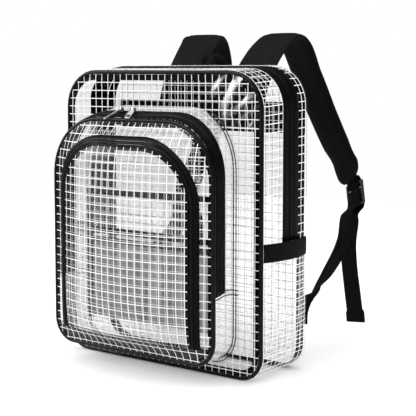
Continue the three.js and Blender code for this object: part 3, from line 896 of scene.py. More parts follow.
@dataclass
class FilmWork:
    """Cuts, bends and dresses film panels with their woven threads."""

    wardrobe: Wardrobe
    yarn: float = 0.5
    skin: Material | None = None
    thread: Material | None = None
    thick: float = 0.7
    flatten: float = 0.4

    def threads(self, name: str, flat: Piece, shape: Shape, start: Pair, pitch: Pair) -> Piece:
        """Yarns along the grid lines of a flat panel, bent with it.

        Args:
            name: the piece's name.
            flat: the flat panel with its grid cut in.
            shape: bends the panel.
            start: a place where lines of each direction cross.
            pitch: distance between lines, along and across.

        Returns:
            The yarns as one piece.
        """
        runs = []
        for axis in (0, 1):
            line = Bench.copy(flat, f"{name}_{axis}")
            with Bench.editing(line, "EDGE"):
                bpy.ops.mesh.delete(type="ONLY_FACE")

                def idle(a: Vector, b: Vector, k: int = axis) -> bool:
                    """True for an edge that is no yarn of this direction."""
                    turns = (a[k] - start[k]) / pitch[k]
                    return abs(a[k] - b[k]) > 0.01 or abs(turns - round(turns)) > 0.004

                Bench.pick(line, "edges", idle)
                bpy.ops.mesh.delete(type="EDGE")
                bpy.ops.mesh.select_all(action="SELECT")
                bpy.ops.mesh.delete_loose(use_verts=True, use_edges=False, use_faces=False)
            if not line.data.edges:
                bpy.data.objects.remove(line)
                continue
            line = Bench.tube(line, self.yarn / MM)
            Bench.bend_off(line, shape, self.flatten)
            runs.append(line)
        piece = Bench.join(name, runs)
        Bench.smooth(piece)
        return finish(piece, self.thread or self.wardrobe.thread, Slot.FILM)

    def dress(
        self, flat: Piece, shape: Shape, nodes: Sequence[str], start: Pair, pitch: Pair
    ) -> Piece:
        """Makes the film and its yarns from one flat panel.

        Args:
            flat: the flat panel, which becomes the film.
            shape: bends the panel.
            nodes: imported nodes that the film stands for.
            start: a place where yarns cross.
            pitch: distance between yarns, along and across.

        Returns:
            The film.
        """
        yarns = self.threads(f"{flat.name}_yarns", flat, shape, start, pitch)
        Bench.thicken(flat, shape, self.thick)
        film = finish(flat, self.skin or self.wardrobe.film, Slot.FILM, nodes)
        return film

    def panel(
        self,
        name: str,
        outline: Outline,
        shape: Shape,
        node: str,
        hole: Callable[[Vector], bool] | None = None,
        step: float = 5.0,
    ) -> Piece:
        """Rounded panel of film with yarns on the bag's own grid.

        Args:
            name: the piece's name.
            outline: the cut.
            shape: bends the panel from its flat place.
            node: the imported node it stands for.
            hole: True where the film is cut away, as under a zip.
            step: distance between the lines cut into it.

        Returns:
            The film.
        """
        flat = Bench.rounded(name, outline)
        Bench.rule(flat, step)
        if hole is not None:
            with Bench.editing(flat, "FACE"):
                Bench.pick(flat, "faces", lambda *corners: all(map(hole, corners)))
                bpy.ops.mesh.delete(type="FACE")
        return self.dress(flat, shape, [node], (0.0, 0.0), (PITCH, PITCH))

    def strip(self, name: str, run: Run, wide: float, place: Place, node: str) -> Piece:
        """Strip of film along a line, with yarns along and across it.

        Args:
            name: the piece's name.
            run: the line it follows.
            wide: its width.
            place: gives the place on the bag from the distance along and across.
            node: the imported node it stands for.

        Returns:
            The film.
        """
        along, across = (max(1, round(d / PITCH)) for d in (run.length, wide))
        flat = Bench.grid(name, (run.length, wide), (2 * along, 2 * across))
        half = run.length / 2
        pitch = (run.length / along, wide / across)
        start = (-half, -wide / 2)
        return self.dress(
            flat, lambda u, v, _w: place(u + half, v), [node], start, pitch
        )

    @staticmethod
    def shine(film: Piece, folds: Sequence[Fold]) -> None:
        """Paints highlight marks on a film along the lit upper sides of its creases."""
        marks = film.data.attributes.new(PAINTED_HIGHLIGHT, "FLOAT", "POINT")
        for mark, point in zip(marks.data, film.data.vertices):
            x, z = point.co.x / MM, point.co.z / MM
            mark.value = min(sum(f.painted_highlight(x, z) for f in folds), 1.0)


@dataclass
class Ribbon:
    """Strip that follows rows of x, y, z, width, turn about Z and thickness factor."""

    rows: Sequence[Row]
    sides: dict[int, Vector] = field(default_factory=dict)
    round_end: float = 0.0

    def __post_init__(self) -> None:
        """Keeps the rows as an array."""
        self.table = np.array([list(r) for r in self.rows], float)
        self.points = [Vector(r[:3]) for r in self.table]

    def point(self, t: float) -> Vector:
        """Point of a centripetal curve through the rows, at a share of its rows."""
        pts = self.points
        f = min(max(t, 0.0), 1.0) * (len(pts) - 1)
        i = min(int(f), len(pts) - 2)
        p1, p2 = pts[i], pts[i + 1]
        p0 = pts[i - 1] if i > 0 else p1 * 2 - p2
        p3 = pts[i + 2] if i + 2 < len(pts) else p2 * 2 - p1
        d0, d1, d2 = ((b - a).length ** 0.5 for a, b in ((p0, p1), (p1, p2), (p2, p3)))
        d1 = d1 or 1.0
        d0, d2 = d0 or d1, d2 or d1
        m1 = ((p1 - p0) / d0 - (p2 - p0) / (d0 + d1) + (p2 - p1) / d1) * d1
        m2 = ((p2 - p1) / d1 - (p3 - p1) / (d1 + d2) + (p3 - p2) / d2) * d1
        w = f - i
        return (
            p1 * (2 * w**3 - 3 * w**2 + 1)
            + m1 * (w**3 - 2 * w**2 + w)
            + p2 * (3 * w**2 - 2 * w**3)
            + m2 * (w**3 - w**2)
        )

    def column(self, k: int, t: float) -> float:
        """A column's value between rows."""
        f = t * (len(self.table) - 1)
        return float(np.interp(f, range(len(self.table)), self.table[:, k]))

    def side(self, t: float) -> Vector:
        """Direction of the strip's width."""
        f = t * (len(self.table) - 1)
        i = min(int(f), len(self.table) - 2)
        ends = []
        for j in (i, i + 1):
            a = math.radians(self.table[j, 4])
            ends.append(self.sides.get(j, Vector((math.cos(a), math.sin(a), 0))))
        return ends[0].lerp(ends[1], f - i)

    def frame(self, t: float) -> tuple[Vector, Vector, Vector]:
        """The point at a share of the rows, and the directions across and out of the face."""
        step = 0.0008
        a, b = max(t - step, 0.0), min(t + step, 1.0)
        ahead = (self.point(b) - self.point(a)).normalized()
        across = self.side(t)
        across = (across - ahead * across.dot(ahead)).normalized()
        return self.point(t), across, ahead.cross(across)

    def shares(self, count: int) -> tuple[np.ndarray, float]:
        """The share of the rows at even steps along the strip, and the strip's length."""
        fine = np.linspace(0, 1, 60 * len(self.points))
        marks = distances(np.array([self.point(float(t)) for t in fine]))
        even = np.linspace(0, marks[-1], count + 1)
        return np.interp(even, marks, fine), float(even[-1])

    def build(self, name: str, cells: Cells, thick: Depth, angle: float, mirror: int = 1) -> Piece:
        """Bends a flat slab along the rows.

        Args:
            name: the piece's name.
            cells: steps along and across.
            thick: thickness from the share of the rows and the place across, -1 to 1.
            angle: edges flatter than this are shaded smooth.
            mirror: -1 for the bag's left.

        Returns:
            The closed strip, with its flat map.
        """
        shares, long = self.shares(cells[0])
        wide = float(self.table[:, 3].max())
        flat = Bench.block(name, (long, wide), cells)
        frames: dict[int, tuple[Vector, Vector, Vector]] = {}

        def shape(u: float, v: float, w: float) -> Point:
            """Flat place to a place along the strip."""
            k = round((u / long + 0.5) * cells[0])
            t = float(shares[k])
            if k not in frames:
                frames[k] = self.frame(t)
            at, across, out = frames[k]
            edge = 2 * v / wide
            height = thick(t, edge) * (1 if w > 0 else -1) / 2
            wide_here = self.column(3, t) * (1 - self.round_end * max((t - 0.965) / 0.035, 0.0) ** 2)
            p = at + across * (edge * wide_here / 2) + out * height
            return (mirror * p.x, p.y, p.z)

        Bench.bend(flat, shape)
        if mirror < 0:
            with Bench.editing(flat, "FACE"):
                bpy.ops.mesh.flip_normals()
        Bench.smooth(flat, angle)
        return flat

    def line(self, across: Curve, out: Curve, count: int) -> list[Point]:
        """Points along the strip, at a place across and a height out from the share of the rows."""
        found = []
        for t in map(float, self.shares(count)[0]):
            at, side, face = self.frame(t)
            found.append(tuple(at + side * across(t) + face * out(t)))
        return found


class Needle:
    """Sews rows of stitches and lays cords along lines on the bag."""

    @staticmethod
    def cord(name: str, lines: Sequence[Sequence[Point]], radius: float, sides: int = 1) -> Piece:
        """Round cord along lines of points.

        Args:
            name: the piece's name.
            lines: points in millimetres; a line that ends where it starts is closed.
            radius: in millimetres.
            sides: extra facets of each quarter.

        Returns:
            The cord.
        """
        places, edges = [], []
        for line in lines:
            closed = (Vector(line[0]) - Vector(line[-1])).length < 0.01
            points = line[:-1] if closed else line
            base, n = len(places), len(points)
            places += [Vector(p) * MM for p in points]
            edges += [(base + i, base + (i + 1) % n) for i in range(n if closed else n - 1)]
        piece = Bench.tube(Bench.raw(name, places, edges, []), radius, sides)
        Bench.smooth(piece)
        return Bench.join(name, [piece])

    @staticmethod
    def bead(name: str, loop: Run, place: Place) -> Piece:
        """Piping round a closed line, placed by its x and z."""
        return Needle.cord(name, [[place(x, z) for x, z, *_ in loop.spread(141)]], PIPE / 2, 2)

    @staticmethod
    def from_lowest(corners: tuple[int, ...]) -> tuple[int, ...]:
        """The same face, begun at its lowest corner."""
        first = corners.index(min(corners))
        return corners[first:] + corners[:first]

    @staticmethod
    def stitch() -> tuple[np.ndarray, list[tuple[int, ...]]]:
        """One stitch, one millimetre long and wide: its corners, and its faces in a fixed order."""
        Bench.clear()
        bpy.ops.mesh.primitive_uv_sphere_add(segments=6, ring_count=4, radius=0.5)
        piece = Bench.named("one_stitch")
        with Bench.editing(piece):
            bpy.ops.transform.rotate(value=math.pi / 2, orient_axis="Y", center_override=(0, 0, 0))
        places = np.array([v.co for v in piece.data.vertices])
        faces = sorted(Needle.from_lowest(tuple(p.vertices)) for p in piece.data.polygons)
        bpy.data.objects.remove(piece)
        return places, faces

    @staticmethod
    def row(name: str, lines: Sequence[Sequence[Point]], long: float, pitch: float, wide: float) -> Piece:
        """Rows of stitches along lines, as one piece.

        Args:
            name: the piece's name.
            lines: points in millimetres.
            long: length of a stitch.
            pitch: distance from stitch to stitch.
            wide: thickness of the thread.

        Returns:
            All the stitches.
        """
        first = 0.2
        places, faces = Needle.stitch()
        all_places, all_faces = [], []
        for line in lines:
            pts = np.array(line, float)
            marks = distances(pts)
            for k in range(int(marks[-1] / pitch)):
                span = (k * pitch + first, k * pitch + first + long)
                ends = [np.array([np.interp(s, marks, pts[:, a]) for a in range(3)]) for s in span]
                ahead = Vector(ends[1] - ends[0])
                turn = np.array(ahead.to_track_quat("X", "Z").to_matrix())
                size = np.array([ahead.length, wide, wide])
                base = len(all_places) * len(places)
                all_places.append((places * size) @ turn.T + (ends[0] + ends[1]) / 2)
                all_faces += [tuple(base + i for i in f) for f in faces]
        piece = Bench.raw(name, (np.concatenate(all_places) * MM).tolist(), [], all_faces)
        Bench.smooth(piece)
        return piece


@dataclass
class ZipWork:
    """Builds a zip as two tapes with a raised row of covered teeth between them."""

    wardrobe: Wardrobe

    def tape(
        self, name: str, run: Run, span: Span, place: Shape, form: Pair, node: str = "", coil: bool = False
    ) -> Piece:
        """One band of a zip.

        Args:
            name: the piece's name.
            run: the line that the zip follows.
            span: where the band starts and ends across the zip.
            place: place on the bag from the distance along, across and outwards.
            form: thickness at the band's edges, and how much its middle stands higher.
            node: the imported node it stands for, if any.
            coil: True for the row of teeth.

        Returns:
            The band.
        """
        half = run.length / 2
        thick, crown = form

        def shape(u: float, v: float, w: float) -> Point:
            """Flat place to a place on the zip, arched across."""
            arch = crown * (1 - (2 * v / span.wide) ** 2)
            return place(u + half, v + span.mid, arch if w > 0 else -thick)

        flat = Bench.slab(name, (run.length, span.wide), (round(run.length / 6), 6), shape)
        skin = self.wardrobe.coil if coil else self.wardrobe.tape
        return finish(flat, skin, Slot.TAPE, [node] if node else [])

    def whole(self, word: str, run: Run, spans: Sequence[Span], place: Shape, crowns: Pair) -> None:
        """Both tapes of a zip and the teeth between them, with the crowns of tape and teeth."""
        for end, span in zip(("front", "rear"), spans):
            node = f"{word}_zip_tape_{end}"
            self.tape(f"{word}_zip_{end}", run, span, place, (1.0, crowns[0]), node)
        self.tape(f"{word}_zip_teeth", run, spans[2], place, (1.4, crowns[1]), f"{word}_zip_coil", True)


def on_wall(run: Run, warp: Shape) -> Shape:
    """Places bands on a wall, from the distance along it, the depth and the height off it."""

    def place(s: float, y: float, out: float) -> Point:
        """Place on the bag."""
        x, z = run.off(s, out)
        return warp(x, y, z)

    return place


BODY = Outline(150, 0, 355, 46, 30)
FRONT_Y, BACK_Y = -47.5, 47.5
BACK_RISE = 6.0
PIPE = 5.0
PIPE_SEAT = 4.8
BODY_EDGE = BODY.inset(PIPE_SEAT)
FILM_MID = 0.5
FINE_YARN = 0.28
SEAM_STITCH = (2.6, 3.6, 0.5)
YOKE_STITCH = (2.8, 3.8, 0.55)
STRAP_STITCH = (2.6, 3.6, 0.6)


def rake(x: float, y: float, z: float) -> Point:
    """Raises the main body towards its back."""
    return x, y, z * (1 + BACK_RISE / BODY.top * (y - FRONT_Y) / (BACK_Y - FRONT_Y))


@dataclass
class MainBody:
    """Main compartment: two panels, the gusset between them, piping and zip."""

    wardrobe: Wardrobe
    zip_end: float = 163.0
    zip_tuck: float = 7.0
    strip_front: Span = Span(-42.7, -5.5)
    strip_rear: Span = Span(27.5, 42.7)
    tape_front: Span = Span(-5.2, 8.0)
    tape_rear: Span = Span(14.0, 27.2)
    coil: Span = Span(8.3, 13.7)
    binding: Span = Span(28.0, 42.2)
    seam_wide: float = 7.0
    seam_gap: float = 0.4
    seam_back: float = 1.7
    binding_in: float = 1.8
    stitch_rows: Pair = (33.4, 41.0)
    stitch_out: float = 0.2
    # the fifth number of a crease is the strength of its painted highlight
    folds: tuple[Fold, ...] = (
        Fold((96, 300), (126, 354), 4.4, 13.0, 0.9),
        Fold((92, 292), (150, 334), 3.6, 9.0, 1.0),
        Fold((108, 290), (150, 318), 2.4, 6.0, 0.9),
        Fold((128, 280), (150, 312), 2.4, 6.0, 0.6),
        Fold((80, 322), (104, 354), 2.8, 9.0, 0.5),
        Fold((-146, 300), (-100, 348), 1.6, 8.0),
        Fold((-140, 250), (-128, 60), 0.9, 12.0),
        Fold((131, 250), (128, 40), 1.2, 9.0),
    )

    def front(self, x: float, z: float, _w: float) -> Point:
        """Front panel, with its creases pulling from the corners."""
        room = ease(BODY_EDGE.depth(x, z) / 14)
        lift = sum(f.lift(x, z) for f in self.folds) * room
        wave = 0.5 * math.sin(x / 23 + z / 41) * math.sin(z / 37 - x / 61) * room
        return x, FRONT_Y + FILM_MID - lift - wave, z

    def back(self, x: float, z: float, _w: float) -> Point:
        """Back panel."""
        room = ease(BODY_EDGE.depth(x, z) / 20)
        wave = 0.6 * math.sin(x / 31 + z / 29) * math.sin(z / 43 - x / 53) * room
        return rake(x, BACK_Y - FILM_MID + min(wave, 0.3), z)

    def gusset(self, run: Run, span: Span) -> Place:
        """Places a strip of the gusset, from the distance along and across."""

        def place(s: float, v: float) -> Point:
            """Place on the bag, sagging a little."""
            sag = 0.9 * math.sin(s / 27) * math.sin(s / 71 + 1) * (1 - (2 * v / span.wide) ** 2)
            x, z = run.off(s, -(FILM_MID + max(sag, 0.0)))
            return rake(x, v + span.mid, z)

        return place

    def build(self) -> None:
        """Builds the whole main compartment."""
        film = FilmWork(self.wardrobe)
        front = film.panel("front_film", BODY_EDGE, self.front, "main_front_panel", step=2.5)
        # painted highlights along the front film's creases
        film.shine(front, self.folds)
        film.panel("back_film", BODY_EDGE, self.back, "back_panel")
        # the gusset yarns glow with painted light
        film.thread = self.wardrobe.painted_glow_thread
        top, low = BODY.over_top(self.zip_end), BODY.under(self.zip_end - GAP)
        whole = Span(self.strip_front.low, self.strip_rear.high)
        for name, run, span, node in (
            ("gusset_front_film", top, self.strip_front, "gusset_front_strip"),
            ("gusset_rear_film", top, self.strip_rear, "gusset_rear_strip"),
            ("base_film", low, whole, "gusset_base"),
        ):
            film.strip(name, run, span.wide, self.gusset(run, span), node)
        self.build_piping()
        self.build_seams()
        self.build_zip(BODY.over_top(self.zip_end - self.zip_tuck))

    def build_piping(self) -> None:
        """Black piping along the front edge and clear piping along the back edge."""
        loop = Outline(BODY.half, 0.2, BODY.top, BODY.r_top, BODY.r_bottom).inset(PIPE / 2).around()
        bead = Needle.bead("front_bead", loop, lambda x, z: (x, FRONT_Y + PIPE / 2, z))
        finish(bead, self.wardrobe.trim, Slot.TRIM, ["front_piping"])
        bead = Needle.bead("back_bead", loop, lambda x, z: rake(x, BACK_Y - PIPE / 2, z))
        finish(bead, self.wardrobe.bead_film, Slot.FILM, ["back_piping"])

    def build_seams(self) -> None:
        """Black tape inside the front seam, and the stitched binding inside the back seam."""
        seam = BODY.inset(PIPE_SEAT + self.seam_gap + self.seam_wide / 2).around()

        def inside(s: float, v: float) -> Point:
            """Place on the tape behind the front film's edge."""
            x, z = seam.off(s, v)
            return x, FRONT_Y + self.seam_back, z

        tape = Bench.ring("front_seam_tape", seam, self.seam_wide, inside, 0.8)
        finish(tape, self.wardrobe.binding, Slot.TRIM)
        ring = BODY.inset(self.binding_in).around()

        def bound(s: float, v: float) -> Point:
            """Place on the binding along the back of the gusset."""
            x, z, *_ = ring.at(s)
            return rake(x, v + self.binding.mid, z)

        band = Bench.ring("back_seam_binding", ring, self.binding.wide, bound, 0.9)
        finish(band, self.wardrobe.binding, Slot.TRIM, ["back_binding"])
        line = BODY.inset(-self.stitch_out).around().spread(400)
        rows = [[rake(x, y, z) for x, z, *_ in line] for y in self.stitch_rows]
        stitches = Needle.row("back_seam_stitches", rows, *SEAM_STITCH)
        finish(stitches, self.wardrobe.thread, Slot.FILM)

    def build_zip(self, run: Run) -> None:
        """The main zip and its slider."""
        spans = (self.tape_front, self.tape_rear, self.coil)
        ZipWork(self.wardrobe).whole("main", run, spans, on_wall(run, rake), (0.7, 1.4))
        slider = Bench.node_copy("main_zip_runner", "main_zip_slider", 0.5)
        finish(slider, self.wardrobe.metal, Slot.METAL, ["main_zip_slider"])


POCKET = Outline(122.6, 23, 300, 70, 30)
POCKET_DEPTH = 53.0
POCKET_Y = FRONT_Y - POCKET_DEPTH
SEWN_HALF, SEWN_BOTTOM, SEWN_TOP = 111, 22, 313
SWELL, SWELL_EDGE = 28, 22
PANEL = POCKET.inset(PIPE_SEAT)
ARCH = Outline(105.5, 45, 280.5, 74, 1)
BACKING = Outline(110, 38, 286.5, 76, 12)


def taper(x: float, y: float, z: float) -> Point:
    """Narrows the pocket from its front outline to its sewn base."""
    t = min(max((FRONT_Y - y) / POCKET_DEPTH, 0.0), 1.0)
    half, low = lerp(SEWN_HALF, POCKET.half, t), lerp(SEWN_BOTTOM, POCKET.bottom, t)
    high = lerp(SEWN_TOP, POCKET.top, t)
    share = (z - POCKET.bottom) / (POCKET.top - POCKET.bottom)
    return x * half / POCKET.half, y, low + share * (high - low)


def swell(x: float, z: float) -> float:
    """How far the pocket's face stands forward of its piping."""
    u = min(abs(x) / PANEL.half, 1.0)
    v = min(abs(z - PANEL.mid) / ((PANEL.top - PANEL.bottom) / 2), 1.0)
    return SWELL * (1 - u**2) * (1 - v**6) * ease(max(PANEL.depth(x, z), 0.0) / SWELL_EDGE)


@dataclass
class FrontPocket:
    """Large front pocket with the flat pocket on its face."""

    wardrobe: Wardrobe
    zip_end: float = 104.0
    tape_front: Span = Span(-95.4, -85.8)
    coil: Span = Span(-85.5, -80.5)
    tape_rear: Span = Span(-80.2, -70.6)
    strip: Span = Span(-70.3, -47.8)
    base: Span = Span(-95.4, -47.8)
    flange: float = 8.0
    flange_rows: Pair = (0.4, 4.3)
    flange_off: float = 0.8
    thread_off: float = 1.3
    thread: float = 0.65
    arch_tape: float = 5.2
    arch_coil: float = 3.6
    arch_bare: float = 2.6
    arch_over: float = 0.4
    arch_under: float = 1.6
    cut_in: float = 0.4
    # heights of the grey band of painted shade at the pocket's foot
    hem: Span = Span(29.0, 43.0)
    foot_seam_rows: Pair = (44.5, 48.0)
    foot_shade_back: float = 2.6
    seam_wide: float = 2.8
    seam_step: float = 2.5
    seam_drop: float = 5.0
    seam_fall: float = 22.5
    seam_back: float = 1.8
    seam_from: float = 84.0
    folds: tuple[Fold, ...] = (
        Fold((70, 292), (112, 200), 1.6, 7.0),
        Fold((96, 250), (112, 120), -1.4, 6.0),
        Fold((-112, 236), (-60, 288), 1.0, 7.0),
        Fold((-80, 60), (60, 52), 1.0, 8.0),
        Fold((-60, 250), (40, 90), 0.8, 18.0),
    )

    def face(self, x: float, z: float, _w: float) -> Point:
        """The pocket's swollen face, its creases weaker beside the zip."""
        room = ease(max(PANEL.depth(x, z), 0.0) / 12) * (0.25 if self.in_zip(x, z, -6) else 1.0)
        lift = sum(f.lift(x, z) for f in self.folds) * room
        return x, POCKET_Y + FILM_MID - swell(x, z) - lift, z

    def in_zip(self, x: float, z: float, margin: float) -> bool:
        """True inside the arch zip's open band, pulled in by a margin."""
        d = ARCH.depth(x, z) if z > ARCH.mid else ARCH.half - abs(x)
        full = self.arch_tape + self.arch_coil + 2 * GAP + self.arch_bare
        return z > ARCH.bottom + margin and margin < d < full - margin

    def cut(self, flat: Vector) -> bool:
        """True where the face's film is cut away under the zip."""
        return self.in_zip(flat.x, flat.y, self.cut_in)

    def behind(self, x: float, z: float, _w: float) -> Point:
        """Backing sheet of the flat pocket."""
        room = 2.7 + 8 * ease(max(BACKING.depth(x, z), 0.0) / 30)
        return x, POCKET_Y - swell(x, z) + room + FILM_MID, z

    def on_face(self, run: Run, sunk: float) -> Shape:
        """Places bands along a line on the face, sunk behind its film by a distance."""

        def place(s: float, inward: float, out: float) -> Point:
            """Distance along, inwards and off the face to a place."""
            x, z = run.off(s, -inward)
            return x, POCKET_Y - swell(x, z) - out + sunk, z

        return place

    def build(self) -> None:
        """Builds the pocket."""
        looks = self.wardrobe
        face = FilmWork(looks, skin=looks.taut_film)
        face.panel("pocket_face_film", PANEL, self.face, "pocket_front_panel", hole=self.cut)
        flat = FilmWork(looks, FINE_YARN, looks.wear_and_painted_pleat_light_film)
        flat.panel("flat_pocket_film", BACKING, self.behind, "flat_pocket_backing")
        film = FilmWork(looks, FINE_YARN, looks.seam_film_with_painted_glare)
        top, low = POCKET.over_top(self.zip_end), POCKET.under(self.zip_end - GAP)
        self.build_wall(film, "pocket_wall_film", top, self.strip, "pocket_gusset_upper")
        self.build_wall(film, "pocket_base_film", low, self.base, "pocket_gusset_lower")
        self.build_zips(top)
        self.build_trim()

    def build_wall(self, film: FilmWork, name: str, run: Run, span: Span, node: str) -> None:
        """One gusset strip of the pocket, its flange sewn to the bag, and the thread.

        Args:
            film: cuts the film.
            name: the strip's name.
            run: the line it follows.
            span: where it starts and ends from front to back.
            node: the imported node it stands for.
        """
        place = on_wall(run, taper)
        film.strip(name, run, span.wide, lambda s, v: place(s, v + span.mid, -FILM_MID), node)
        half = run.length / 2

        def lip(u: float, v: float, _w: float) -> Point:
            """Flat place to a place on the flange."""
            return place(u + half, FRONT_Y - self.flange_off, v + self.flange / 2)

        cells = (round(run.length / 6), 2)
        flat = Bench.sheet(f"{name}_flange", (run.length, self.flange), cells, lip, film.thick)
        finish(flat, self.wardrobe.film, Slot.FILM)
        self.sew_flange(name, run)

    def sew_flange(self, name: str, run: Run) -> None:
        """Two dark rows of thread along a flange, and a row across each end."""
        place = on_wall(run, taper)
        sewn = FRONT_Y - self.thread_off
        rows = []
        for reach in self.flange_rows:
            for hand in Hand:
                line = []
                for s in np.linspace(0, run.length, 240):
                    x, z, *_ = run.at(s)
                    if x * hand.value > (self.seam_from if z > PANEL.mid else 0.0):
                        line.append(place(s, sewn, reach))
                rows.append(line)
        for s, sign in ((0.0, 1), (run.length, -1)):
            across = []
            at = s + sign * self.seam_step
            for y in np.linspace(self.base.low + 1, self.base.high - 1, 12):
                x, depth, z = place(at, float(y), self.flange_rows[0])
                drop = self.seam_drop * max((y - self.strip.low) / self.seam_fall, 0.0)
                across.append((x, depth, z - drop))
            for reach in (2.0, 5.0, self.flange):
                x, depth, z = place(at, sewn, reach)
                across.append((x, depth, z - self.seam_drop))
            rows.append(across)
        finish(Needle.cord(f"{name}_seams", rows, self.thread), self.wardrobe.seam, Slot.FILM)

    def build_zips(self, top: Run) -> None:
        """The pocket's zip, the arch zip on its face, and the sliders with their pulls."""
        zips = ZipWork(self.wardrobe)
        spans = (self.tape_front, self.tape_rear, self.coil)
        zips.whole("pocket", top, spans, on_wall(top, taper), (0.6, 1.3))
        arch = ARCH.over_top(ARCH.bottom)
        on, under = self.on_face(arch, -self.arch_over), self.on_face(arch, self.arch_under)
        coil = self.arch_tape + GAP
        inner = coil + self.arch_coil + GAP
        end = inner + self.arch_tape
        bare = inner + self.arch_bare
        teeth = Span(coil, coil + self.arch_coil)
        for word, span, place, form, node in (
            ("outer", Span(0, self.arch_tape), on, (0.8, 0.7), "arch_zip_tape_outer"),
            ("inner", Span(inner, bare), on, (0.8, 0.5), "arch_zip_tape_inner"),
            ("lap", Span(bare - 0.5, end + 1.5), under, (0.5, 0.0), ""),
            ("teeth", teeth, on, (0.9, 1.4), "arch_zip_coil"),
        ):
            zips.tape(f"arch_zip_{word}", arch, span, place, form, node, word == "teeth")
        for hand, body in ((Hand.LEFT, Body.PULL_LEFT), (Hand.RIGHT, Body.PULL_RIGHT)):
            runner = Bench.node_copy(f"pocket_runner_{hand.word}", f"slider_{hand.word}", 0.35)
            finish(runner, self.wardrobe.runner, Slot.METAL, [f"slider_{hand.word}"])
            tag = Bench.node_copy(f"pocket_tag_{hand.word}", f"pull_{hand.word}", 0.25)
            finish(tag, self.wardrobe.metal, Slot.METAL, [f"pull_{hand.word}"], body)

    def build_trim(self) -> None:
        """Piping of the pocket, the seam tape behind it, and the grey band of painted shade at its foot with
        the rows sewn over it.
        """
        loop = POCKET.inset(PIPE / 2).around()
        bead = Needle.bead("pocket_bead", loop, lambda x, z: (x, POCKET_Y + PIPE / 2, z))
        finish(bead, self.wardrobe.trim, Slot.TRIM, ["pocket_piping"])
        edge = PANEL.inset(self.seam_wide / 2 + 0.2).around()
        on = self.on_face(edge, self.seam_back)
        seam = Bench.ring("pocket_seam_tape", edge, self.seam_wide, lambda s, v: on(s, -v, 0.0), 0.6)
        finish(seam, self.wardrobe.binding, Slot.TRIM)
        self.build_painted_foot_shade()
        places = np.linspace(3 - PANEL.half, PANEL.half - 3, 60)
        rows = [[(x, POCKET_Y - swell(x, z) - 0.3, z) for x in places] for z in self.foot_seam_rows]
        finish(Needle.cord("pocket_foot_seams", rows, 0.4), self.wardrobe.seam, Slot.FILM)

    def build_painted_foot_shade(self) -> None:
        """Grey band behind the film along the pocket's foot: painted shade for the shadow under the bag seen
        through the clear bottom.
        """
        reach = PANEL.half - 8

        def shape(u: float, v: float, _w: float) -> Point:
            """Flat place to a place behind the face, drawn in at the rounded corners."""
            z = v + self.hem.mid
            drop = max(PANEL.bottom + PANEL.r_bottom - z, 0.0)
            room = PANEL.r_bottom - math.sqrt(max(PANEL.r_bottom**2 - drop**2, 0.0))
            x = u * (PANEL.half - room - 1.5) / reach
            return x, POCKET_Y - swell(x, z) + self.foot_shade_back, z

        flat = Bench.sheet("pocket_foot_painted_shade", (2 * reach, self.hem.wide), (64, 4), shape, 0.6)
        finish(flat, self.wardrobe.hem, Slot.TRIM)


@dataclass
class Organizer:
    """Open organizer that stands inside the large pocket."""

    wardrobe: Wardrobe
    half: float = 97.0
    front: float = -66.0
    bottom: float = 50.0
    top: float = 212.0
    mid_band: float = 156.0
    band: float = 8.0
    mesh_half: float = 88.7
    mesh_span: Span = Span(54.0, 152.0)
    mesh_hem: float = 6.5
    mesh_off: float = 0.8
    hem_off: float = 1.3
    band_off: float = 0.9
    bow: float = 1.6

    def build(self) -> None:
        """Builds the film pouch, its bindings and its mesh pocket."""
        film = FilmWork(self.wardrobe, FINE_YARN, self.wardrobe.taut_film)
        cut = Outline(self.half, self.bottom, self.top, 0.6, 0.6)

        def shape(x: float, z: float, _w: float) -> Point:
            """Front sheet, bowed a little towards the face."""
            bow = self.bow * (1 - (x / self.half) ** 2) * math.sin(math.pi * (z - self.bottom) / 180)
            return x, self.front + FILM_MID + max(bow, 0.0), z

        film.panel("organizer_film", cut, shape, "organizer_panel")
        inner = self.half - self.band - GAP
        upright = Span(self.bottom, self.top - self.band - GAP)
        for word, wide, high in (
            ("top", Span(-self.half, self.half), Span(self.top - self.band, self.top)),
            ("mid", Span(-inner, inner), Span(self.mid_band, self.mid_band + self.band)),
            ("right", Span(self.half - self.band, self.half), upright),
            ("left", Span(-self.half, self.band - self.half), upright),
        ):
            self.edge_band(word, wide, high)
        self.netting()

    def edge_band(self, word: str, wide: Span, high: Span) -> None:
        """One black binding of the organizer."""
        size = (wide.wide, high.wide)
        cells = tuple(max(2, round(d / 8)) for d in size)
        flat = Bench.grid(f"organizer_{word}_binding", size, cells)

        def shape(u: float, v: float, _w: float) -> Point:
            """Flat place to a place on the organizer's face."""
            return u + wide.mid, self.front - self.band_off, v + high.mid

        Bench.thicken(flat, shape, 1.1, 50, bevel=0.3)
        finish(flat, self.wardrobe.binding, Slot.TRIM, [f"organizer_binding_{word}"])

    def netting(self) -> None:
        """The mesh pocket, gathered in soft pleats, with its dark hem."""
        span, wide = self.mesh_span, 2 * self.mesh_half

        def shape(u: float, v: float, _w: float) -> Point:
            """Flat place to a pleated place in front of the organizer."""
            share = (v + span.wide / 2) / span.wide
            pleat = 0.35 * math.sin(u / 3.4) * share
            return u, self.front - self.mesh_off + pleat * 0.6, v + span.mid

        def folded(u: float, v: float, _w: float) -> Point:
            """Flat place to a place on the hem."""
            return u, self.front - self.hem_off, v + span.high - self.mesh_hem / 2

        flat = Bench.sheet("organizer_netting", (wide, span.wide), (88, 24), shape, 0.5)
        piece = finish(flat, self.wardrobe.netting, Slot.MESH, ["organizer_mesh"])
        hem = Bench.sheet("organizer_netting_hem", (wide, self.mesh_hem), (88, 2), folded, 0.5)
        finish(hem, self.wardrobe.hem, Slot.MESH)


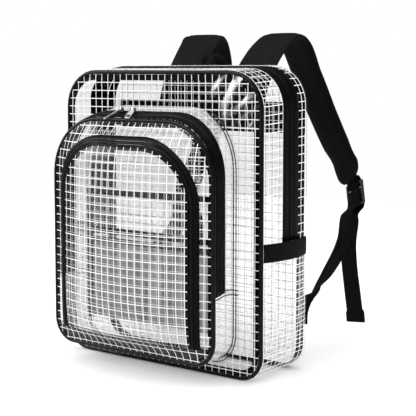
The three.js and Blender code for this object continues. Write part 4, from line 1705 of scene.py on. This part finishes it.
@dataclass
class SidePocket:
    """Open side pocket of film with an elastic band along its mouth."""

    wardrobe: Wardrobe
    hand: Hand
    half: float = 42.4
    bottom: float = 30.0
    band: Span = Span(139.0, 160.0)
    puff: float = 8.0
    rise: float = 70.0
    lap: float = 2.2

    def out(self, y: float, z: float) -> float:
        """How far the pocket stands off the bag's side."""
        across = max(1 - (y / self.half) ** 2, 0.0)
        return BODY.half + GAP + self.puff * across * ease((z - self.bottom) / self.rise)

    def build(self) -> None:
        """Builds the film and its band."""
        sign, word = self.hand.value, self.hand.word
        # the side pocket's yarns glow with painted light
        film = FilmWork(self.wardrobe, thread=self.wardrobe.painted_glow_thread)
        cut = Outline(self.half, self.bottom, self.band.low - GAP, 0.6, 0.6)

        def wall(y: float, z: float, _w: float) -> Point:
            """Flat place to a place on the pocket."""
            dent = 0.7 * math.sin(y / 11) * math.sin(z / 23)
            return sign * (self.out(y, z) + FILM_MID + dent), y, z

        film.panel(f"side_pocket_film_{word}", cut, wall, f"side_pocket_{word}")
        self.elastic(sign, word)

    def elastic(self, sign: int, word: str) -> None:
        """The ribbed band, drawn in a little along its edges."""
        band, wide = self.band, 2 * self.half + self.lap

        def shape(u: float, v: float, w: float) -> Point:
            """Flat place to a place on the band."""
            edge = (2 * v / band.wide) ** 2
            thick = 1.8 - 0.7 * edge**3
            gather = 0.18 * math.sin(u / 1.3) * edge
            y, z = u - self.lap / 2, v + band.mid
            return sign * (self.out(y, z) + (thick if w > 0 else 0.1) + gather), y, z

        flat = Bench.slab(f"side_elastic_{word}", (wide, band.wide), (44, 8), shape)
        finish(flat, self.wardrobe.elastic, Slot.STRAP, [f"side_band_{word}"])


@dataclass
class Carrying:
    """Yoke, padded straps, webbing, buckles and the grab handle."""

    wardrobe: Wardrobe
    yoke_half: float = 145.0
    yoke: Span = Span(280.0, 317.0)
    strap_thick: float = 8.0
    strap_edge: float = 0.3
    strap_fill: float = 0.55
    stitch_at: float = 0.8
    web_thick: float = 1.6
    web_wide: float = 25
    tab_wide: float = 22
    handle_thick: float = 2.4
    buckle_at: Point = (136.1, 186, 195.2)
    buckle_down: Point = (0.299, -0.313, -0.901)
    buckle_turn: float = -24.4
    buckle_pitch: float = 14.0
    strap_rows: Rows = (
        (54, 55.6, 285, 56, 0, 0.9),
        (54, 55.6, 312, 56, 0, 0.9),
        (54.5, 63, 335, 56, 0, 1),
        (55, 80, 360, 56, 0, 1),
        (58, 107, 387, 57, -4, 1),
        (63, 126, 398, 57, -6, 1),
        (66.5, 147, 389, 51, -6, 1),
        (72.2, 168, 350, 46, -4, 1),
        (88.1, 177.5, 303.8, 43, -2, 1),
        (106.7, 186.7, 257.1, 42, -4, 1),
        (117.3, 192.7, 232.8, 40, -10, 0.9),
        (128.45, 183.35, 212.5, 30, -22, 0.68),
    )
    web_lower: Rows = (
        (144, 49.2, 52, 12, 0, 1),
        (143.5, 49.4, 66, 14, 0, 1),
        (140.5, 59.5, 78, 23, -18, 1),
        (143.5, 78, 88, 25, -64, 1),
        (139, 116, 106, 25, -36, 1),
        (135, 158, 138, 25, -20, 1),
    )
    web_turn: Rows = (
        *((26, -13, -4), (16, -5.2, -1), (6, -3.3, 0), (-2.6, -3.1, 0), (-5.6, 0, 0)),
        *((-2.6, 3.1, 0), (6, 3.3, 0), (15, 3.7, -2), (24, 0.5, -9)),
    )
    web_tail: Rows = (
        (126.1, 188, 137.4, 25, -12, 1),
        (126.5, 188, 108, 25, -8, 1),
        (131, 189, 70, 25, -6, 1),
        (135, 189, 44, 25, -6, 1),
        (135.6, 189, 41, 28, -6, 2.4),
        (137, 189, 28, 28, -6, 2.4),
    )
    tab_turn: Rows = (
        *((-9, -1.1), (-4, 2.6), (0, 3.2), (3.4, 3.1), (6.4, 0)),
        *((3.4, -3.1), (0, -3.2), (-4, -3.4), (-9, -3.5)),
    )
    handle_rows: Rows = (
        (14, 52.4, 290, 20, 0, 1),
        (14, 52.4, 316, 20, 0, 1),
        (15.5, 55, 334, 20, 25, 1),
        (15, 60, 354, 20, 65, 1),
        (9, 62, 369, 20, 88, 1),
        (0, 62.5, 374, 20, 90, 1),
    )

    def buckle_axes(self) -> tuple[Vector, Vector, Vector]:
        """Directions across, down along and out of the buckle."""
        down = Vector(self.buckle_down).normalized()
        a = math.radians(self.buckle_turn)
        across = Vector((math.cos(a), math.sin(a), 0))
        across = (across - down * across.dot(down)).normalized()
        return across, down, across.cross(down)

    def buckle_row(self, along: float, out: float, width: float, aside: float = 0.0) -> Row:
        """Row of a strip at a place in the buckle's own axes."""
        across, down, face = self.buckle_axes()
        p = Vector(self.buckle_at) + down * along + face * out + across * aside
        return (p.x, p.y, p.z, width, 0.0, 1.0)

    def build(self) -> None:
        """Builds everything that the bag is carried by."""
        self.build_yoke()
        self.build_handle()
        for hand in Hand:
            self.build_strap(hand)
            self.build_webbing(hand)
            clip = Bench.node_copy(f"ladder_buckle_{hand.word}", f"buckle_{hand.word}", 0.4)
            finish(clip, self.wardrobe.plastic, Slot.PLASTIC, [f"buckle_{hand.word}"])

    def build_yoke(self) -> None:
        """Black band across the back, with its rows of stitches."""
        half, span = self.yoke_half, self.yoke

        def shape(u: float, v: float, w: float) -> Point:
            """Flat place to a place on the yoke, thinner along its sewn edges."""
            edge = max(abs(2 * v / span.wide), abs(u / half)) ** 8
            swelling = (3.0 - 1.4 * edge) if w < 0 else 0.1
            return u, BACK_Y + 0.2 + swelling, v + span.mid

        flat = Bench.slab("yoke_cloth", (2 * half, span.wide), (72, 10), shape)
        finish(flat, self.wardrobe.strap, Slot.STRAP, ["yoke_band"])
        places = np.linspace(4 - half, half - 4, 40)
        rows = [[(x, BACK_Y + 3.1, z) for x in places] for z in (span.low + 3.5, span.high - 3.5)]
        finish(Needle.row("yoke_stitches", rows, *YOKE_STITCH), self.wardrobe.seam, Slot.STRAP)

    def build_handle(self) -> None:
        """Grab handle: a folded loop of webbing."""
        far = [(-r[0], *r[1:4], 180 - r[4], r[5]) for r in reversed(self.handle_rows[:-1])]

        def thick(_t: float, e: float) -> float:
            """Thickness, thinner along the edges."""
            return self.handle_thick * (1 - 0.45 * e**6)

        piece = Ribbon([*self.handle_rows, *far]).build("handle_webbing", (96, 8), thick, 60)
        finish(piece, self.wardrobe.webbing, Slot.STRAP, ["grab_handle"])

    def build_strap(self, hand: Hand) -> None:
        """Padded strap with pinched stitch rows along its edges."""
        ribbon = Ribbon(self.strap_rows, round_end=0.25)

        def thick(t: float, e: float) -> float:
            """Thickness: full in the middle, thin at the edges, pinched at the stitches."""
            body = self.strap_edge + (1 - self.strap_edge) * (1 - e**4)
            pinch = 0.16 * math.exp(-(((abs(e) - self.stitch_at) / 0.045) ** 2))
            return self.strap_thick * ribbon.column(5, t) * max(body - pinch, 0.2)

        piece = ribbon.build(f"padded_strap_{hand.word}", (120, 26), thick, 70, hand.value)
        finish(piece, self.wardrobe.strap, Slot.STRAP, [f"strap_{hand.word}"])
        lines = []
        for side in (-self.stitch_at, self.stitch_at):
            for face in (-1, 1):
                line = ribbon.line(
                    lambda t, s=side: s * ribbon.column(3, t) / 2,
                    lambda t, f=face: f * thick(t, self.stitch_at) / 2,
                    200,
                )
                lines.append([(hand.value * x, y, z) for x, y, z in line])
        stitches = Needle.row(f"strap_stitches_{hand.word}", lines, *STRAP_STITCH)
        finish(stitches, self.wardrobe.seam, Slot.STRAP)

    def build_webbing(self, hand: Hand) -> None:
        """Lower webbing with its hanging tail, and the tab of the buckle."""
        across = self.buckle_axes()[0]
        turn = [self.buckle_row(a, o, self.web_wide, b) for a, o, b in self.web_turn]
        first = len(self.web_lower)
        lower = [*self.web_lower, *turn, *self.web_tail]
        rows = [self.buckle_row(a - self.buckle_pitch, o, self.tab_wide) for a, o in self.tab_turn]
        for name, ribbon, along, node in (
            ("lower_webbing", Ribbon(lower, {first + k: across for k in range(len(turn))}), 260, "webbing"),
            ("buckle_tab", Ribbon(rows, dict.fromkeys(range(len(rows)), across)), 48, "strap_tab"),
        ):

            def thick(t: float, e: float, r: Ribbon = ribbon) -> float:
                """Thickness, thinner along the edges."""
                return self.web_thick * r.column(5, t) * (1 - 0.35 * e**8)

            piece = ribbon.build(f"{name}_{hand.word}", (along, 6), thick, 60, hand.value)
            finish(piece, self.wardrobe.webbing, Slot.STRAP, [f"{node}_{hand.word}"])


@dataclass(frozen=True)
class Lamp:
    """A soft box aimed at the bag, or a card that only gloss mirrors."""

    name: str
    place: Point
    aim: Point
    size: Pair
    power: float
    card: bool = False

    def hang(self) -> None:
        """Adds the light to the scene."""
        data = bpy.data.lights.new(self.name, "AREA")
        data.shape = "RECTANGLE"
        data.size, data.size_y = self.size
        data.energy = self.power
        lamp = bpy.data.objects.new(self.name, data)
        lamp.location = self.place
        lamp.visible_diffuse = not self.card
        turn = (Vector(self.aim) - Vector(self.place)).to_track_quat("-Z", "Y")
        lamp.rotation_euler = turn.to_euler()
        bpy.context.scene.collection.objects.link(lamp)


@dataclass
class Studio:
    """Pale floor, soft light and the camera."""

    azimuth: float = 37.1
    pitch: float = 5.0
    distance: float = 1.3547
    target: Point = (0.0384, 0.0, 0.2391)
    sensor: float = 36.0
    lens: float = 97.2
    shift: float = -0.0995
    around: float = 1.35
    mirrored: float = 0.12
    floor_size: float = 3.2
    bounces: int = 16
    see_through: int = 96
    clamp: float = 6.0
    lamps: tuple[Lamp, ...] = (
        Lamp("top_box", (0.0, 0.0, 2.4), (0, 0, 0), (2.6, 2.6), 24),
        Lamp("key_box", (-0.9, -1.6, 1.5), (0, 0, 0.2), (0.8, 0.8), 12),
        Lamp("left_card", (-1.75, -1.0, 0.95), (0.1, 0, 0.3), (0.8, 0.8), 55, True),
        Lamp("high_card", (-0.6, -1.5, 1.7), (0, 0, 0.25), (1.0, 0.35), 50, True),
    )

    def build(self) -> None:
        """Sets up floor, light and camera."""
        self.build_floor()
        self.build_world()
        for lamp in self.lamps:
            lamp.hang()
        self.build_camera()
        scene = bpy.context.scene
        scene.view_settings.view_transform = "Standard"
        scene.view_settings.look = "None"
        scene.cycles.max_bounces = self.bounces
        scene.cycles.transparent_max_bounces = self.see_through
        scene.cycles.sample_clamp_indirect = self.clamp

    def build_floor(self) -> None:
        """Large pale floor with rounded corners."""
        Bench.clear()
        bpy.ops.mesh.primitive_plane_add(size=self.floor_size)
        floor = Bench.named("studio_floor")
        with Bench.editing(floor):
            bpy.ops.mesh.bevel(offset=self.floor_size / 3, segments=12, affect="VERTICES", profile=0.5)
        pale = SolidFinish("pale_floor", grey(0.86), grey(0.88), (0.7, 0.8), 2.0, 0.0)
        floor.data.materials.append(pale.make())
        floor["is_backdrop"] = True

    def build_world(self) -> None:
        """White surroundings: bright as light on cloth, dark where gloss mirrors them."""
        world = bpy.data.worlds.new("white_room")
        bpy.context.scene.world = world
        world.use_nodes = True
        w = Wiring(world.node_tree)
        seen = w.add("LightPath")
        last = w.add("Background", Color=(1, 1, 1, 1), Strength=self.mirrored).outputs[0]
        for ray, strength in (("Is Diffuse Ray", self.around), ("Is Camera Ray", 1.0)):
            glow = w.add("Background", Color=(1, 1, 1, 1), Strength=strength)
            last = w.mixed(seen.outputs[ray], last, glow.outputs[0])
        w.wire(last, w.add("OutputWorld").inputs["Surface"])

    def build_camera(self) -> None:
        """Camera at the photograph's viewing angle."""
        a, p = math.radians(self.azimuth), math.radians(self.pitch)
        back = Vector((math.sin(a) * math.cos(p), -math.cos(a) * math.cos(p), math.sin(p)))
        right = Vector((math.cos(a), math.sin(a), 0))
        turn = Matrix((right, back.cross(right), back)).transposed()
        data = bpy.data.cameras.new("view")
        data.sensor_width = self.sensor
        data.lens = self.lens
        data.shift_y = self.shift
        camera = bpy.data.objects.new("view", data)
        camera.location = Vector(self.target) + back * self.distance
        camera.rotation_euler = turn.to_euler()
        bpy.context.scene.collection.objects.link(camera)
        bpy.context.scene.camera = camera


def main() -> None:
    """Builds the studio and the bag, and works out the sizes."""
    logging.basicConfig(level=logging.INFO, format="%(message)s")
    Studio().build()
    wardrobe = Wardrobe()
    MainBody(wardrobe).build()
    FrontPocket(wardrobe).build()
    Organizer(wardrobe).build()
    for hand in Hand:
        SidePocket(wardrobe, hand).build()
    Carrying(wardrobe).build()
    Bench.clear()
    sizes = {"cad": CAD_BOX, "visual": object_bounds()}
    plain = {k: [[float(c) for c in corner] for corner in box] for k, box in sizes.items()}


if __name__ == "__main__":
    main()
